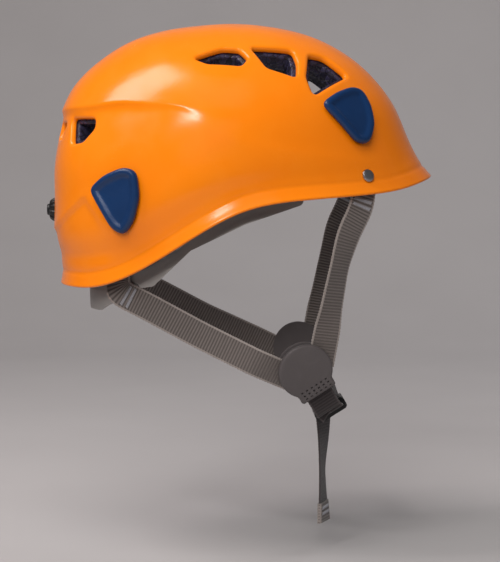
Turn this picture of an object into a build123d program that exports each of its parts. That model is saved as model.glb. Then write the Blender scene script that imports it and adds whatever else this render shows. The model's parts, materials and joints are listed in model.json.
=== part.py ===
from build123d import *
import math
import os

# Climbing helmet, worn on a head.  +X forward, -Y the wearer's right, +Z up, millimetres.
# The origin is the head seat: the point in the middle plane where the head's centre sits.

# ---------------------------------------------------------------- driving dimensions
CROWN = 129.0
SHELL_WALL = 2.4
LINER_GAP = 0.3
LINER_WALL = 15.0
LINER_RIM_SETBACK = 7.0
ROUNDNESS = 2.2
EGG = 0.05
POINTS_ROUND = 24

# Height of the rim along the helmet, from the nape to the tip of the brim.
RIM = [(-131, -66), (-108, -65), (-70, -50.5), (-35, -29), (0, -10), (43, -1), (93, 3), (122, 7.5), (145, 15)]
# Rings from the rim (0) to the crown (1): rise, front, back, half width.
RINGS = [
    (0.0, 145.0, -136.0, 109.5),
    (0.055, 139.5, -134.6, 106.0),
    (0.16, 131.8, -139.0, 106.0),
    (0.30, 124.5, -140.3, 105.0),
    (0.45, 117.0, -140.3, 101.0),
    (0.60, 105.0, -137.0, 92.5),
    (0.74, 89.0, -127.5, 79.0),
    (0.86, 68.0, -105.0, 61.0),
    (0.945, 43.0, -76.0, 39.5),
    (0.985, 19.0, -43.5, 20.5),
    (0.998, 2.5, -18.0, 7.5),
]
SKIRT_FLOOR = -104.0

WEBBING_WIDTH = 20.0
WEBBING_THICK = 1.6

CLIP_FOOT = 0.35
CLIP_GAP = 3.0
CLIP_TOP = 6.2

RIVET_AT = (92.0, 15.5)
RIVET_HEAD_R = 4.75
RIVET_SHANK_R = 2.4
RIVET_DEPTH = 8.0

BAND_OUT = 22.0
BAND_IN = 24.0
STUD_AT = (38.0, 3.0)
ANCHOR_AT = (-98.0, -46.0)

KNOB_Z = -11.0
PINION_R = 4.0
PINION_TEETH = 10
MODULE = 2 * PINION_R / PINION_TEETH
SHAFT_R = 3.0
RUNNING = 0.08

DISC_R = 20.0
DISC_AT = (46.9, -80.0, -124.3)
DISC_OUT = (0.221, -0.954, -0.201)
CHIN_WAY = (0.53, 0.0, -0.85)
DISC_SPOUT = (21.0, 14.2)

BUCKLE_AT = (67.0, -43.0, -157.5)
BUCKLE_PULL = (0.0, 1.0, -0.05)
BUCKLE_WIDE = (0.85, 0.0, 0.53)
# A latch arm across the buckle, from its tail past the pivot to the barb.
LATCH = [(6.9, 16.6), (10.0, 16.6), (9.6, 4.9), (12.2, 4.0), (12.5, -1.5), (9.4, -2.9), (7.2, -3.0)]
LATCH_PIVOT = (8.6, 15.4)

# Adjuster housing: x, y and z ranges.
HOUSING = (-121.0, -110.0, -24.0, 24.0, -31.0, 9.0)
KNOB_HOLE_R = 11.6
# Vent outlines with their corner radii: crown vents in the side view, rear vents seen from behind.
VENTS_SIDE = [
    ([(-31.5, 100.5), (-12.5, 107.0), (-1.0, 106.5), (5.0, 100.5), (1.0, 95.5), (-22.5, 97.0)], 1.6),
    ([(9.5, 108.0), (38.0, 106.5), (41.0, 97.5), (40.5, 87.5), (20.5, 94.0)], 2.0),
    ([(51.5, 103.0), (61.5, 101.5), (78.0, 88.5), (54.0, 74.5), (49.5, 86.5)], 2.4),
]
VENTS_BACK = [
    ([(44.5, 57.0), (65.5, 57.0), (68.0, 50.5), (63.0, 41.0), (53.0, 39.5)], 1.8),
    ([(12.0, 54.0), (34.0, 54.0), (30.0, 43.0), (14.0, 43.5)], 2.2),
]
# Side-view outlines of the lamp clips, and the points where each stands on the shell.
CLIP_FRONT = [
    (58.2, 65.3), (68.5, 72.5), (79.6, 76.6), (86.0, 74.8), (91.8, 64.0),
    (94.0, 51.0), (90.5, 38.8), (82.5, 38.8),
]
CLIP_REAR = [
    (-104.1, 5.7), (-94.5, 14.6), (-80.5, 20.6), (-72.2, 18.2), (-70.2, 1.0),
    (-74.0, -15.0), (-80.5, -25.0), (-88.3, -21.0),
]
CLIP_ROOT_FRONT = (68.5, 64.0)
CLIP_ROOT_REAR = (-94.5, 2.5)
# Side-view outline of a cradle arm and rear-view outline of its nape lobe.
ARM = [
    (-86, -33), (-58, -35), (-28, -16), (4, 0), (34, 11), (46, 9),
    (46, -5), (4, -19), (-35, -38), (-62, -64), (-86, -68),
]
LOBE = [(28, -2), (74, -24), (74, -66), (60, -76), (44, -84), (22, -84), (14, -74), (14, -36), (28, -33)]
# Pins that join the two halves of a yoke disc.
POSTS = [(-16.2, 0.0), (12.8, 13.0), (12.8, -13.0)]

SIDES = (("right", -1), ("left", 1))

os.makedirs("parts", exist_ok=True)


# ---------------------------------------------------------------- the shell's surface
def smooth(points, at):
    """Smooth curve through hand-set points, with gentle end slopes."""
    xs = [p[0] for p in points]
    ys = [p[1] for p in points]
    i = max(0, min(len(xs) - 2, sum(1 for x in xs if x <= at) - 1))
    span = xs[i + 1] - xs[i]

    def slope(k):
        if k == 0:
            return (ys[1] - ys[0]) / (xs[1] - xs[0])
        if k == len(xs) - 1:
            return (ys[-1] - ys[-2]) / (xs[-1] - xs[-2])
        before = (ys[k] - ys[k - 1]) / (xs[k] - xs[k - 1])
        after = (ys[k + 1] - ys[k]) / (xs[k + 1] - xs[k])
        left = xs[k] - xs[k - 1]
        right = xs[k + 1] - xs[k]
        return (before * right + after * left) / (left + right)

    t = (at - xs[i]) / span
    h00 = 2 * t**3 - 3 * t**2 + 1
    h10 = t**3 - 2 * t**2 + t
    h01 = -2 * t**3 + 3 * t**2
    h11 = t**3 - t**2
    return h00 * ys[i] + h10 * span * slope(i) + h01 * ys[i + 1] + h11 * span * slope(i + 1)


def ring_value(column, rise):
    return smooth([(r[0], r[column]) for r in RINGS], rise)


def skin_point(rise, angle):
    """Point of the outer skin at a rise from rim to crown and an angle round the head."""
    c, s = math.cos(angle), math.sin(angle)
    q = (abs(c) ** ROUNDNESS + abs(s) ** ROUNDNESS) ** (-1 / ROUNDNESS)
    front, back, half = (ring_value(k, rise) for k in (1, 2, 3))
    x = (front + back) / 2 + (front - back) / 2 * q * c
    y = half * q * s * (1 - EGG * c)
    rim_x = (RINGS[0][1] + RINGS[0][2]) / 2 + (RINGS[0][1] - RINGS[0][2]) / 2 * q * c
    rim_z = smooth(RIM, rim_x)
    return Vector(x, y, rim_z * (1 - rise) + CROWN * rise)


def skin_normal(rise, angle):
    """Outward unit normal of the outer skin."""
    step = 0.004
    low, high = max(0.0, rise - step), min(0.998, rise + step)
    up = skin_point(high, angle) - skin_point(low, angle)
    around = skin_point(rise, angle + step) - skin_point(rise, angle - step)
    return around.cross(up).normalized()


def dome(inset):
    """Closed solid inside the outer skin moved inwards by inset, run down below the rim."""
    angles = [2 * math.pi * j / POINTS_ROUND for j in range(POINTS_ROUND)]
    rows = []
    for rise, *_ in RINGS:
        rows.append([skin_point(rise, a) - skin_normal(rise, a) * inset for a in angles])
    crown_z = CROWN - inset - 0.2
    rows[-1] = [Vector(p.X, p.Y, crown_z) for p in rows[-1]]
    floor = [Vector(p.X, p.Y, SKIRT_FLOOR) for p in rows[0]]
    steps = [j / POINTS_ROUND for j in range(POINTS_ROUND + 1)]
    wires = [Wire([Edge.make_spline(ring, periodic=True, parameters=steps)]) for ring in [floor] + rows]
    skin = Shell.make_loft(wires[1:])
    skirt = Shell.make_loft(wires[:2], ruled=True)
    faces = skin.faces() + skirt.faces() + [Face(wires[0]), Face(wires[-1])]
    return Solid(Shell(faces))


def below_rim(lift):
    """Everything below the rim curve raised by lift."""
    xs = [-200.0] + [p[0] for p in RIM] + [200.0]
    ends = {-200.0: RIM[0][1], 200.0: RIM[-1][1] + 6}
    curve = [(x, ends.get(x, smooth(RIM, x)) + lift) for x in xs]
    with BuildSketch(Plane.XZ) as area:
        with BuildLine():
            Spline(*curve)
            Polyline(curve[-1], (200, -200), (-200, -200), curve[0])
        make_face()
    return extrude(area.sketch, amount=200, both=True)


def find_side(x, z, side):
    """Rise and angle of the skin point with this x and z on one side."""
    low, high = 0.0, 0.998
    for _ in range(40):
        rise = (low + high) / 2
        a_low, a_high = 0.0, math.pi
        for _ in range(40):
            angle = (a_low + a_high) / 2
            if skin_point(rise, angle).X > x:
                a_low = angle
            else:
                a_high = angle
        if skin_point(rise, angle).Z < z:
            low = rise
        else:
            high = rise
    return rise, angle * side


def find_back(y, z):
    """Rise and angle of the skin point with this y and z on the back."""
    side = 1 if y > 0 else -1
    low, high = 0.0, 0.998
    for _ in range(40):
        rise = (low + high) / 2
        a_low, a_high = math.pi / 2, math.pi
        for _ in range(40):
            angle = (a_low + a_high) / 2
            if abs(skin_point(rise, angle).Y) > abs(y):
                a_low = angle
            else:
                a_high = angle
        if skin_point(rise, angle).Z < z:
            low = rise
        else:
            high = rise
    return rise, angle * side


def skin_plane(rise, angle):
    """Plane on the skin: z outwards, x as near forward as it can be."""
    normal = skin_normal(rise, angle)
    forward = Vector(1, 0, 0)
    flat = forward - normal * forward.dot(normal)
    return Plane(origin=skin_point(rise, angle), x_dir=flat, z_dir=normal)


def outline_prism(corners, radius, out, into, grow=0.0):
    """Prism along the skin's normal over an outline given as skin points, with rounded corners."""
    middle = (sum(c[0] for c in corners) / len(corners), sum(c[1] for c in corners) / len(corners))
    plane = skin_plane(*middle)
    flat = [plane.to_local_coords(skin_point(*c)) for c in corners]
    with BuildSketch(plane) as area:
        with BuildLine():
            Polyline(*[(p.X, p.Y) for p in flat], close=True)
        make_face()
        fillet(area.vertices(), radius=radius)
        if grow:
            offset(amount=grow, kind=Kind.ARC)
    sketch = area.sketch
    return extrude(sketch, amount=out) + extrude(sketch, amount=-into)


def write(name, shape):
    export_step(shape, f"parts/{name}.step")


# ---------------------------------------------------------------- vents and clips, by side view
def side_outline(points, side):
    return [find_side(x, z, side) for x, z in points]


def back_outline(points, side):
    return [find_back(side * y, z) for y, z in points]




def vent_cutters(grow, into):
    cuts = []
    for _, side in SIDES:
        for points, radius in VENTS_SIDE:
            cuts.append(outline_prism(side_outline(points, side), radius, 12, into, grow))
        for points, radius in VENTS_BACK:
            cuts.append(outline_prism(back_outline(points, side), radius, 12, into, grow))
    return cuts


# ---------------------------------------------------------------- shell and liner
def rivet_plane(side):
    return skin_plane(*find_side(*RIVET_AT, side))


def cylinder_on(plane, radius, start, end):
    """Cylinder along a plane's normal between two heights."""
    low, high = min(start, end), max(start, end)
    with BuildSketch(plane.offset(low)) as area:
        Circle(radius)
    return extrude(area.sketch, amount=high - low)


def rod_x(radius, x0, x1, z=KNOB_Z, y=0.0):
    plane = Plane(origin=(min(x0, x1), y, z), x_dir=(0, 1, 0), z_dir=(1, 0, 0))
    return cylinder_on(plane, radius, 0, abs(x1 - x0))


def block(x0, x1, y0, y1, z0, z1):
    middle = Location(((x0 + x1) / 2, (y0 + y1) / 2, (z0 + z1) / 2))
    return middle * Box(x1 - x0, y1 - y0, z1 - z0)


def make_shell(outer, inner):
    body = outer - inner - below_rim(0)
    for cut in vent_cutters(0.0, 9):
        body -= cut
    for _, side in SIDES:
        body -= cylinder_on(rivet_plane(side), RIVET_SHANK_R + RUNNING, -8, 8)
    body -= rod_x(KNOB_HOLE_R, -150, -132)
    return body




def make_liner(outer, inner):
    body = outer - inner - below_rim(LINER_RIM_SETBACK)
    for cut in vent_cutters(-1.2, 34):
        body -= cut
    for _, side in SIDES:
        plane = rivet_plane(side)
        notch = Plane(origin=plane.origin, x_dir=plane.x_dir, z_dir=plane.z_dir).location * Location((0, -14, -8))
        body -= notch * Box(30, 60, 22)
        body -= stud_rod(side, 2.05, -2, 12)
        body -= anchor_rod(side, 3.05, 7.5, 30)
    body -= rod_x(12.2, -150, -134.5)
    body -= rod_x(5.05, -150, -110)
    x0, x1, y0, y1, z0, z1 = HOUSING
    body -= block(x0 - 0.3, x1 + 30, y0 - 0.3, y1 + 0.3, z0 - 0.3, z1 + 0.3)
    for y in (-20, 20):
        body -= rod_x(1.35, -134, -105, KNOB_Z + 16, y)
    return body


# ---------------------------------------------------------------- outside pieces
def make_clip(outline, root_point, side):
    """Lamp clip: a dished plate that follows the shell, held at its pointed end."""
    corners = side_outline(outline, side)
    prism = outline_prism(corners, 4.2, 16, 6)
    plate = (outer_top - outer_gap) & prism
    dish = outline_prism(corners, 4.2, 16, 6, -5.5)
    plate -= (outer_top - outer_dish) & dish
    foot_plane = skin_plane(*find_side(*root_point, side))
    foot = (outer_gap - outer_low) & prism & cylinder_on(foot_plane, 13.5, -6, 14)
    return plate + foot


def make_rivet(side):
    plane = rivet_plane(side)
    cap_r = 6.6
    cap_rise = 2.6
    ball = plane.location * Location((0, 0, cap_rise - cap_r)) * Sphere(cap_r)
    dome_cap = ball & cylinder_on(plane, RIVET_HEAD_R, 0.5, 4)
    shank = cylinder_on(plane, RIVET_SHANK_R, -RIVET_DEPTH, 0.8)
    tail = cylinder_on(plane, 4.2, -RIVET_DEPTH - 1.2, -RIVET_DEPTH)
    return dome_cap + shank + tail


def make_washers(side):
    plane = rivet_plane(side)
    upper = cylinder_on(plane, 6.5, -4.0, -3.0) - cylinder_on(plane, RIVET_SHANK_R + 0.1, -5, -2)
    lower = cylinder_on(plane, 6.5, -7.8, -6.8) - cylinder_on(plane, RIVET_SHANK_R + 0.1, -9, -6)
    return [upper, lower]


# ---------------------------------------------------------------- headband and nape cradle
def stud_rod(side, radius, start, end):
    """Rod along Y at the arm's front end, measured inwards from the liner's inner face."""
    point = skin_point(*find_side(*STUD_AT, side))
    face = abs(point.Y) - SHELL_WALL - LINER_GAP - LINER_WALL
    y0, y1 = side * (face - start), side * (face - end)
    low, high = min(y0, y1), max(y0, y1)
    plane = Plane(origin=(STUD_AT[0], low, STUD_AT[1]), x_dir=(1, 0, 0), z_dir=(0, 1, 0))
    return cylinder_on(plane, radius, 0, high - low)


def anchor_rod(side, radius, start, end):
    plane = skin_plane(*find_side(*ANCHOR_AT, side))
    return cylinder_on(plane, radius, -end, -start)


def side_prism(points, side, radius):
    """Side-view outline pushed through one half of the helmet."""
    with BuildSketch(Plane.XZ) as area:
        with BuildLine():
            Polyline(*points, close=True)
        make_face()
        fillet(area.vertices(), radius=radius)
    return extrude(area.sketch, amount=-side * 200)


def back_prism(points, side, radius):
    """Rear-view outline pushed through the back half of the helmet."""
    with BuildSketch(Plane.YZ) as area:
        with BuildLine():
            Polyline(*[(side * y, z) for y, z in points], close=True)
        make_face()
        fillet(area.vertices(), radius=radius)
    return extrude(area.sketch, amount=-200)




def rack_bar(side):
    """Straight rack on one cradle half: the right one above the pinion, the left one below."""
    up = 1 if side < 0 else -1
    pitch_line = KNOB_Z + up * PINION_R
    root = pitch_line + up * 1.0
    spine = pitch_line + up * 5.5
    reach = 13.0
    y0, y1 = sorted((side * 31, -side * reach))
    z0, z1 = sorted((root, spine))
    bar = block(-116.5, -113.5, y0, y1, z0, z1)
    pitch = math.pi * MODULE
    for k in range(-4, 5):
        y = k * pitch + pitch / 2
        if side * y > 9 or -side * y > reach - 1:
            continue
        with BuildSketch(Plane(origin=(-116.5, y, pitch_line), x_dir=(0, 1, 0), z_dir=(1, 0, 0))) as area:
            with BuildLine():
                Polyline((-0.72, up * 1.02), (0.72, up * 1.02), (0.2, -up * 0.7), (-0.2, -up * 0.7), close=True)
            make_face()
        bar += extrude(area.sketch, amount=3.0)
    return bar


def make_cradle(side, band):
    back = band & back_prism(LOBE, side, 5) & block(-200, -80, -120, 120, -104, 40)
    arm = band & side_prism(ARM, side, 4)
    half = back + arm
    top = KNOB_Z + 9.5 if side < 0 else KNOB_Z
    y0, y1 = sorted((side * 28, side * 34))
    join = block(-116.5, -108.5, y0, y1, top - 9.5, top)
    half = half + join + rack_bar(side)
    slot_long = side_prism([(-72, -52.5), (-70, -48), (-54, -38.5), (-52, -43)], side, 1.6)
    slot_short = side_prism([(-48, -40.5), (-46.5, -36.5), (-40, -32), (-41.5, -36)], side, 1.2)
    half -= slot_long
    half -= slot_short
    half -= stud_rod(side, 2.05, -4, 30)
    half -= on_side(rear_webbing(WEBBING_WIDTH + 3, WEBBING_THICK + 1.4), side)
    return half


def make_stud(side):
    return stud_rod(side, 1.95, -6, 13.4) + stud_rod(side, 3.6, 13.4, 14.8)


def make_forehead_band(band):
    """Fixed half band round the forehead."""
    cover = block(28, 150, -120, 120, 7, 35)
    strip = band & cover
    for _, side in SIDES:
        strip -= stud_rod(side, 2.05, -4, 30)
    return strip


def make_nape_pad(side, pad_band):
    pad = [(30, -40), (66, -42), (66, -62), (56, -70), (42, -78), (25, -78), (19, -70), (19, -44)]
    return pad_band & back_prism(pad, side, 4) & block(-200, -82, -120, 120, -104, 40)


def make_brow_pad(pad_band):
    return pad_band & block(62, 150, -100, 100, 9, 33)


def make_crown_pads(pad_band):
    pads = []
    for x in (-48, 22):
        with BuildSketch(Plane.XY.offset(60)) as area:
            with Locations((x, 0)):
                RectangleRounded(46, 70, 10)
        pads.append(pad_band & extrude(area.sketch, amount=90))
    return pads


# ---------------------------------------------------------------- rear adjuster
def make_housing():
    x0, x1, y0, y1, z0, z1 = HOUSING
    body = block(x0, x1, y0, y1, z0, z1)
    body = fillet(body.edges().filter_by(Axis.X), 4)
    body -= block(x0 + 2.5, x1 + 1, y0 + 3, y1 - 3, KNOB_Z - 12, KNOB_Z + 12)
    body -= block(-117.0, x1 + 1, y0 - 1, y1 + 1, KNOB_Z + 4.2, KNOB_Z + 10.0)
    body -= block(-117.0, x1 + 1, y0 - 1, y1 + 1, KNOB_Z - 10.0, KNOB_Z - 4.2)
    body -= rod_x(SHAFT_R + RUNNING, x0 - 1, x1)
    for y in (-20, 20):
        body -= rod_x(1.3, x0 - 1, x1 + 1, KNOB_Z + 16, y)
    return body


def make_cover():
    x0, x1, y0, y1, z0, z1 = HOUSING
    plate = block(x1 + 0.1, x1 + 2.1, y0, y1, z0, z1)
    plate = fillet(plate.edges().filter_by(Axis.X), 4)
    plate -= rod_x(2.0 + RUNNING, x1 - 1, x1 + 4)
    for y in (-20, 20):
        plate -= rod_x(1.3, x1 - 1, x1 + 4, KNOB_Z + 16, y)
    return plate


def make_screws():
    x1 = HOUSING[1] + 2.1
    screws = []
    for y in (-20, 20):
        body = rod_x(1.2, -132, x1 + 0.1, KNOB_Z + 16, y) + rod_x(2.6, x1 + 0.05, x1 + 1.7, KNOB_Z + 16, y)
        screws.append(body - block(x1 + 1.1, x1 + 3, y - 2, y + 2, KNOB_Z + 15.6, KNOB_Z + 16.4))
    return screws


def make_bushing():
    return rod_x(4.95, -133.8, -121.35) - rod_x(SHAFT_R + RUNNING, -140, -110)


def make_pinion():
    """Shaft through the back of the helmet with a ten-tooth pinion at its inner end."""
    shaft = rod_x(SHAFT_R, -136.4, -117.6)
    gear = rod_x(2.95, -117.6, -112.4)
    for k in range(PINION_TEETH):
        turn = Rot(360 * k / PINION_TEETH, 0, 0)
        with BuildSketch(Plane(origin=(-117.6, 0, 0), x_dir=(0, 1, 0), z_dir=(1, 0, 0))) as area:
            with BuildLine():
                Polyline(
                    (-0.66, 2.6), (0.66, 2.6), (0.46, PINION_R),
                    (0.2, 4.7), (-0.2, 4.7), (-0.46, PINION_R), close=True,
                )
            make_face()
        gear += Location((0, 0, KNOB_Z)) * turn * extrude(area.sketch, amount=5.2)
    stub = rod_x(2.0, -112.4, HOUSING[1] + 1.9)
    return shaft + gear + stub - rod_x(1.25, -137, -128)


def make_knob():
    flange = rod_x(10.6, -139.4, -136.4)
    with BuildSketch(Plane(origin=(-139.4, 0, KNOB_Z), x_dir=(0, 1, 0), z_dir=(-1, 0, 0))) as low:
        Circle(9.2)
    with BuildSketch(Plane(origin=(-144.2, 0, KNOB_Z), x_dir=(0, 1, 0), z_dir=(-1, 0, 0))) as high:
        Circle(6.4)
    grip = loft([low.sketch.faces()[0], high.sketch.faces()[0]])
    nose = rod_x(4.2, -146.6, -144.2)
    body = flange + grip + nose
    for k in range(10):
        turn = math.radians(36 * k + 18)
        body -= rod_x(1.7, -150, -139.4, KNOB_Z + 9.4 * math.cos(turn), 9.4 * math.sin(turn))
    body -= rod_x(1.35, -150, -130)
    body -= rod_x(2.7, -150, -145.3)
    return body


def make_knob_screw():
    body = rod_x(1.2, -145.4, -128.5) + rod_x(2.6, -146.3, -145.4)
    return body - block(-147, -145.9, -2, 2, KNOB_Z - 0.4, KNOB_Z + 0.4)


# ---------------------------------------------------------------- straps
def ribbon(stations, width=WEBBING_WIDTH, thick=WEBBING_THICK):
    """Webbing through stations, each a centre and the direction of its width."""
    centres = [Vector(*c) for c, _ in stations]
    wires = []
    for k, (_, across) in enumerate(stations):
        ahead = centres[min(k + 1, len(centres) - 1)] - centres[max(k - 1, 0)]
        along = ahead.normalized()
        wide = Vector(*across)
        wide = (wide - along * wide.dot(along)).normalized()
        plane = Plane(origin=centres[k], x_dir=wide, z_dir=along)
        wires.append((plane * Rectangle(width, thick)).wire())
    return Solid.make_loft(wires, ruled=True)


def disc_plane():
    """Right yoke disc: z outwards, x towards the chin, y up and forward."""
    return Plane(origin=DISC_AT, x_dir=CHIN_WAY, z_dir=DISC_OUT)


def disc_point(x, y, z):
    return tuple(disc_plane().from_local_coords(Vector(x, y, z)))


def disc_way(x, y):
    plane = disc_plane()
    return tuple(plane.x_dir * x + plane.y_dir * y)


def on_side(shape, side):
    """The right-hand shape itself, or its mirror image for the left."""
    return shape if side < 0 else mirror(shape, about=Plane.XZ)


def front_strap():
    plane = rivet_plane(-1)
    top = plane.origin - plane.z_dir * 5.4
    down = plane.y_dir * -1
    flat = tuple(plane.x_dir)
    stations = [
        (tuple(top - down * 9), flat),
        (tuple(top + down * 12), flat),
        (tuple(top + down * 22 + Vector(-1.5, 1.0, 0)), flat),
        ((78.0, -84.0, -26.0), (0.86, 0.45, 0.2)),
        ((71.5, -83.5, -50.0), (0.70, 0.68, 0.18)),
        ((65.5, -82.5, -82.0), (0.80, 0.55, 0.1)),
        (disc_point(-16.3, 28.9, -1.3), disc_way(0.641, 0.768)),
        (disc_point(-7.1, 21.2, -1.3), disc_way(0.641, 0.768)),
        (disc_point(4.4, 11.6, -1.3), disc_way(0.641, 0.768)),
    ]
    return ribbon(stations) - cylinder_on(plane, RIVET_SHANK_R + 0.1, -12, 2)


def rear_webbing(width, thick):
    plane = skin_plane(*find_side(*ANCHOR_AT, -1))
    depth = SHELL_WALL + LINER_GAP + LINER_WALL + 1.1
    held = plane.origin - plane.z_dir * depth
    along = plane.y_dir
    flat = tuple(plane.x_dir)
    stations = [
        (tuple(held + along * 8), flat),
        (tuple(held - along * 10), flat),
        (tuple(held - along * 17 + plane.z_dir * 2.4), flat),
        ((-89.5, -70.5, -68.0), (0.75, 0.1, 0.7)),
        ((-70.0, -75.0, -77.0), (0.45, 0, 1.0)),
        ((-30.0, -77.5, -98.5), (0.45, 0, 1.0)),
        (disc_point(-23.8, -26.9, -1.2), disc_way(-0.55, 0.835)),
        (disc_point(-7.1, -15.9, -1.3), disc_way(-0.55, 0.835)),
        (disc_point(1.8, -10.0, -1.3), disc_way(-0.55, 0.835)),
    ]
    return ribbon(stations, width, thick)


def rear_strap():
    return rear_webbing(WEBBING_WIDTH, WEBBING_THICK) - anchor_rod(-1, 3.1, 10, 26)


def rear_anchor(side):
    """Stud in the liner that holds the rear strap's upper end."""
    return anchor_rod(side, 3.0, 8, 20.0) + anchor_rod(side, 4.6, 19.8, 20.6)


# ---------------------------------------------------------------- yoke discs


def disc_outline(plane, low, high, radius, spout):
    with BuildSketch(plane.offset(low)) as area:
        Circle(radius)
        if spout:
            with Locations((DISC_SPOUT[0] / 2, 0)):
                Rectangle(DISC_SPOUT[0], 2 * DISC_SPOUT[1])
            fillet(area.vertices(), radius=2.5)
    return extrude(area.sketch, amount=high - low)


def post(x, y, radius, low, high):
    plane = disc_plane()
    spot = Plane(origin=disc_point(x, y, 0), x_dir=plane.x_dir, z_dir=plane.z_dir)
    return cylinder_on(spot, radius, low, high)


def disc_back():
    body = disc_outline(disc_plane(), -4.2, -2.5, DISC_R, False)
    for x, y in POSTS:
        body += post(x, y, 1.7, -2.6, 2.6)
    return body


def disc_cap():
    plane = disc_plane()
    body = disc_outline(plane, 1.8, 6.4, DISC_R, True)
    body = fillet(body.faces().sort_by(Axis(DISC_AT, DISC_OUT))[-1].edges(), 1.6)
    for x, y in POSTS:
        body -= post(x, y, 1.75, 1.0, 2.7)
    for row in range(3):
        for column in range(6):
            x = 12.4 + 3.0 * row
            y = (column - 2.5) * 4.0
            spot = plane.location * Location((x, y, 5.9))
            body -= spot * Box(1.3, 1.5, 1.4)
    return body


# ---------------------------------------------------------------- chin buckle
def buckle_plane():
    """Release buckle under the chin: x across the webbing, z along the pull, y down and forward."""
    return Plane(origin=BUCKLE_AT, x_dir=BUCKLE_WIDE, z_dir=BUCKLE_PULL)


def in_buckle(shape):
    return buckle_plane().location * shape


def make_socket():
    body = block(-12.5, 12.5, -4.6, 4.6, -13, 13)
    body = fillet(body.edges().filter_by(Axis.Z), 3)
    body -= block(-10.2, 10.2, -2.9, 2.9, -6, 14)
    for sign in (-1, 1):
        x0, x1 = sorted((sign * 9, sign * 14))
        body -= block(x0, x1, -2.9, 2.9, -3.9, 5.5)
    body -= block(-10.4, 10.4, -1.3, 5.5, -11.8, -8.8)
    return in_buckle(body)


def make_plug():
    base = block(-12.2, 12.2, -4.2, 4.2, 13.4, 21)
    base = fillet(base.edges().filter_by(Axis.Z), 2.6)
    frame = block(-12.6, 12.6, -2.6, 2.6, 20.5, 35)
    frame = fillet(frame.edges().filter_by(Axis.Y), 2.5)
    frame -= block(-10.4, 10.4, -4, 4, 22.5, 26.4)
    frame -= block(-10.4, 10.4, -4, 4, 29.4, 33.0)
    tongue = block(-2.8, 2.8, -2.4, 2.4, -4.5, 13.6)
    body = base + frame + tongue
    for sign in (-1, 1):
        x0, x1 = sorted((sign * 6.4, sign * 13))
        body -= block(x0, x1, -2.2, 2.2, 13, 18.2)
        body += pivot(sign, 0.9, -3, 3)
    return in_buckle(body)


def pivot(sign, radius, low, high):
    """Round pin across the buckle, on which a latch arm springs."""
    plane = Plane(origin=(sign * LATCH_PIVOT[0], 0, LATCH_PIVOT[1]), x_dir=(1, 0, 0), z_dir=(0, 1, 0))
    return cylinder_on(plane, radius, low, high)


def make_latch(sign):
    """Spring arm of the plug with a barb that catches in the socket's side window."""
    with BuildSketch(Plane.XZ) as area:
        with BuildLine():
            Polyline(*[(sign * x, z) for x, z in LATCH], close=True)
        make_face()
    arm = extrude(area.sketch, amount=2.0, both=True)
    return in_buckle(arm - pivot(sign, 0.96, -4, 4))


def buckle_point(x, y, z):
    return buckle_plane().from_local_coords(Vector(x, y, z))


def chin_strap_short():
    """Webbing from the right disc, round under the jaw, to the buckle's socket."""
    stations = [
        (disc_point(-6.0, 0, 0.6), disc_way(0, 1)),
        (disc_point(22.0, 0, 0.6), disc_way(0, 1)),
        (disc_point(36.5, 0, 0.3), disc_way(0, 1)),
        (disc_point(39.4, 0, -1.6), disc_way(0, 1)),
        (tuple(buckle_point(0, 0.4, -21.0)), BUCKLE_WIDE),
        (tuple(buckle_point(0, 0.4, -14.8)), BUCKLE_WIDE),
    ]
    return ribbon(stations)


def chin_strap():
    """Webbing from the left disc, round under the jaw, to the plug's ladder bar."""
    ladder_end = buckle_point(0, 0, 35.8)
    stations = [
        (disc_point(-6.0, 0, 0.6), disc_way(0, 1)),
        (disc_point(22.0, 0, 0.6), disc_way(0, 1)),
        (disc_point(36.5, 0, 0.3), disc_way(0, 1)),
        (disc_point(39.4, 0, -1.6), disc_way(0, 1)),
        ((66.9, -64.0, -158.2), BUCKLE_WIDE),
        ((67.5, -44.0, -159.8), BUCKLE_WIDE),
        ((68.0, -20.0, -161.8), BUCKLE_WIDE),
        ((67.4, -1.0, -161.0), BUCKLE_WIDE),
        ((ladder_end.X, -ladder_end.Y, ladder_end.Z), BUCKLE_WIDE),
    ]
    return mirror(ribbon(stations), about=Plane.XZ)


def strap_tail():
    """Free end of the chin webbing, hanging from the buckle's ladder bar."""
    top = buckle_point(-5.0, 0, 28.0)
    stations = [
        ((top.X + 0.5, top.Y, -167.8), (0.55, 0.84, 0)),
        ((top.X + 0.8, top.Y, -182.0), (0.42, 0.91, 0)),
        ((top.X - 0.4, top.Y, -208.0), (0.20, 0.98, 0)),
        ((top.X + 0.2, top.Y, -228.0), (0.28, 0.96, 0)),
        ((top.X + 1.0, top.Y, -248.0), (0.40, 0.92, 0)),
    ]
    return ribbon(stations)


# ---------------------------------------------------------------- build
outer_skin = dome(0)
shell_inner = dome(SHELL_WALL)
liner_outer = dome(SHELL_WALL + LINER_GAP)
liner_inner = dome(SHELL_WALL + LINER_GAP + LINER_WALL)
outer_low = dome(-CLIP_FOOT)
outer_gap = dome(-CLIP_GAP)
outer_dish = dome(-(CLIP_TOP - 1.4))
outer_top = dome(-CLIP_TOP)
pad_outer = dome(SHELL_WALL + LINER_GAP + LINER_WALL + 0.3)
pad_inner = dome(24.5)
band_outer = dome(BAND_OUT)
band_inner = dome(BAND_IN)
fore_outer = dome(18.4)
fore_inner = dome(20.0)
brow_outer = dome(20.4)
brow_inner = dome(27.0)
nape_outer = dome(BAND_IN + 0.1)
nape_inner = dome(BAND_IN + 6.5)

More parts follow.
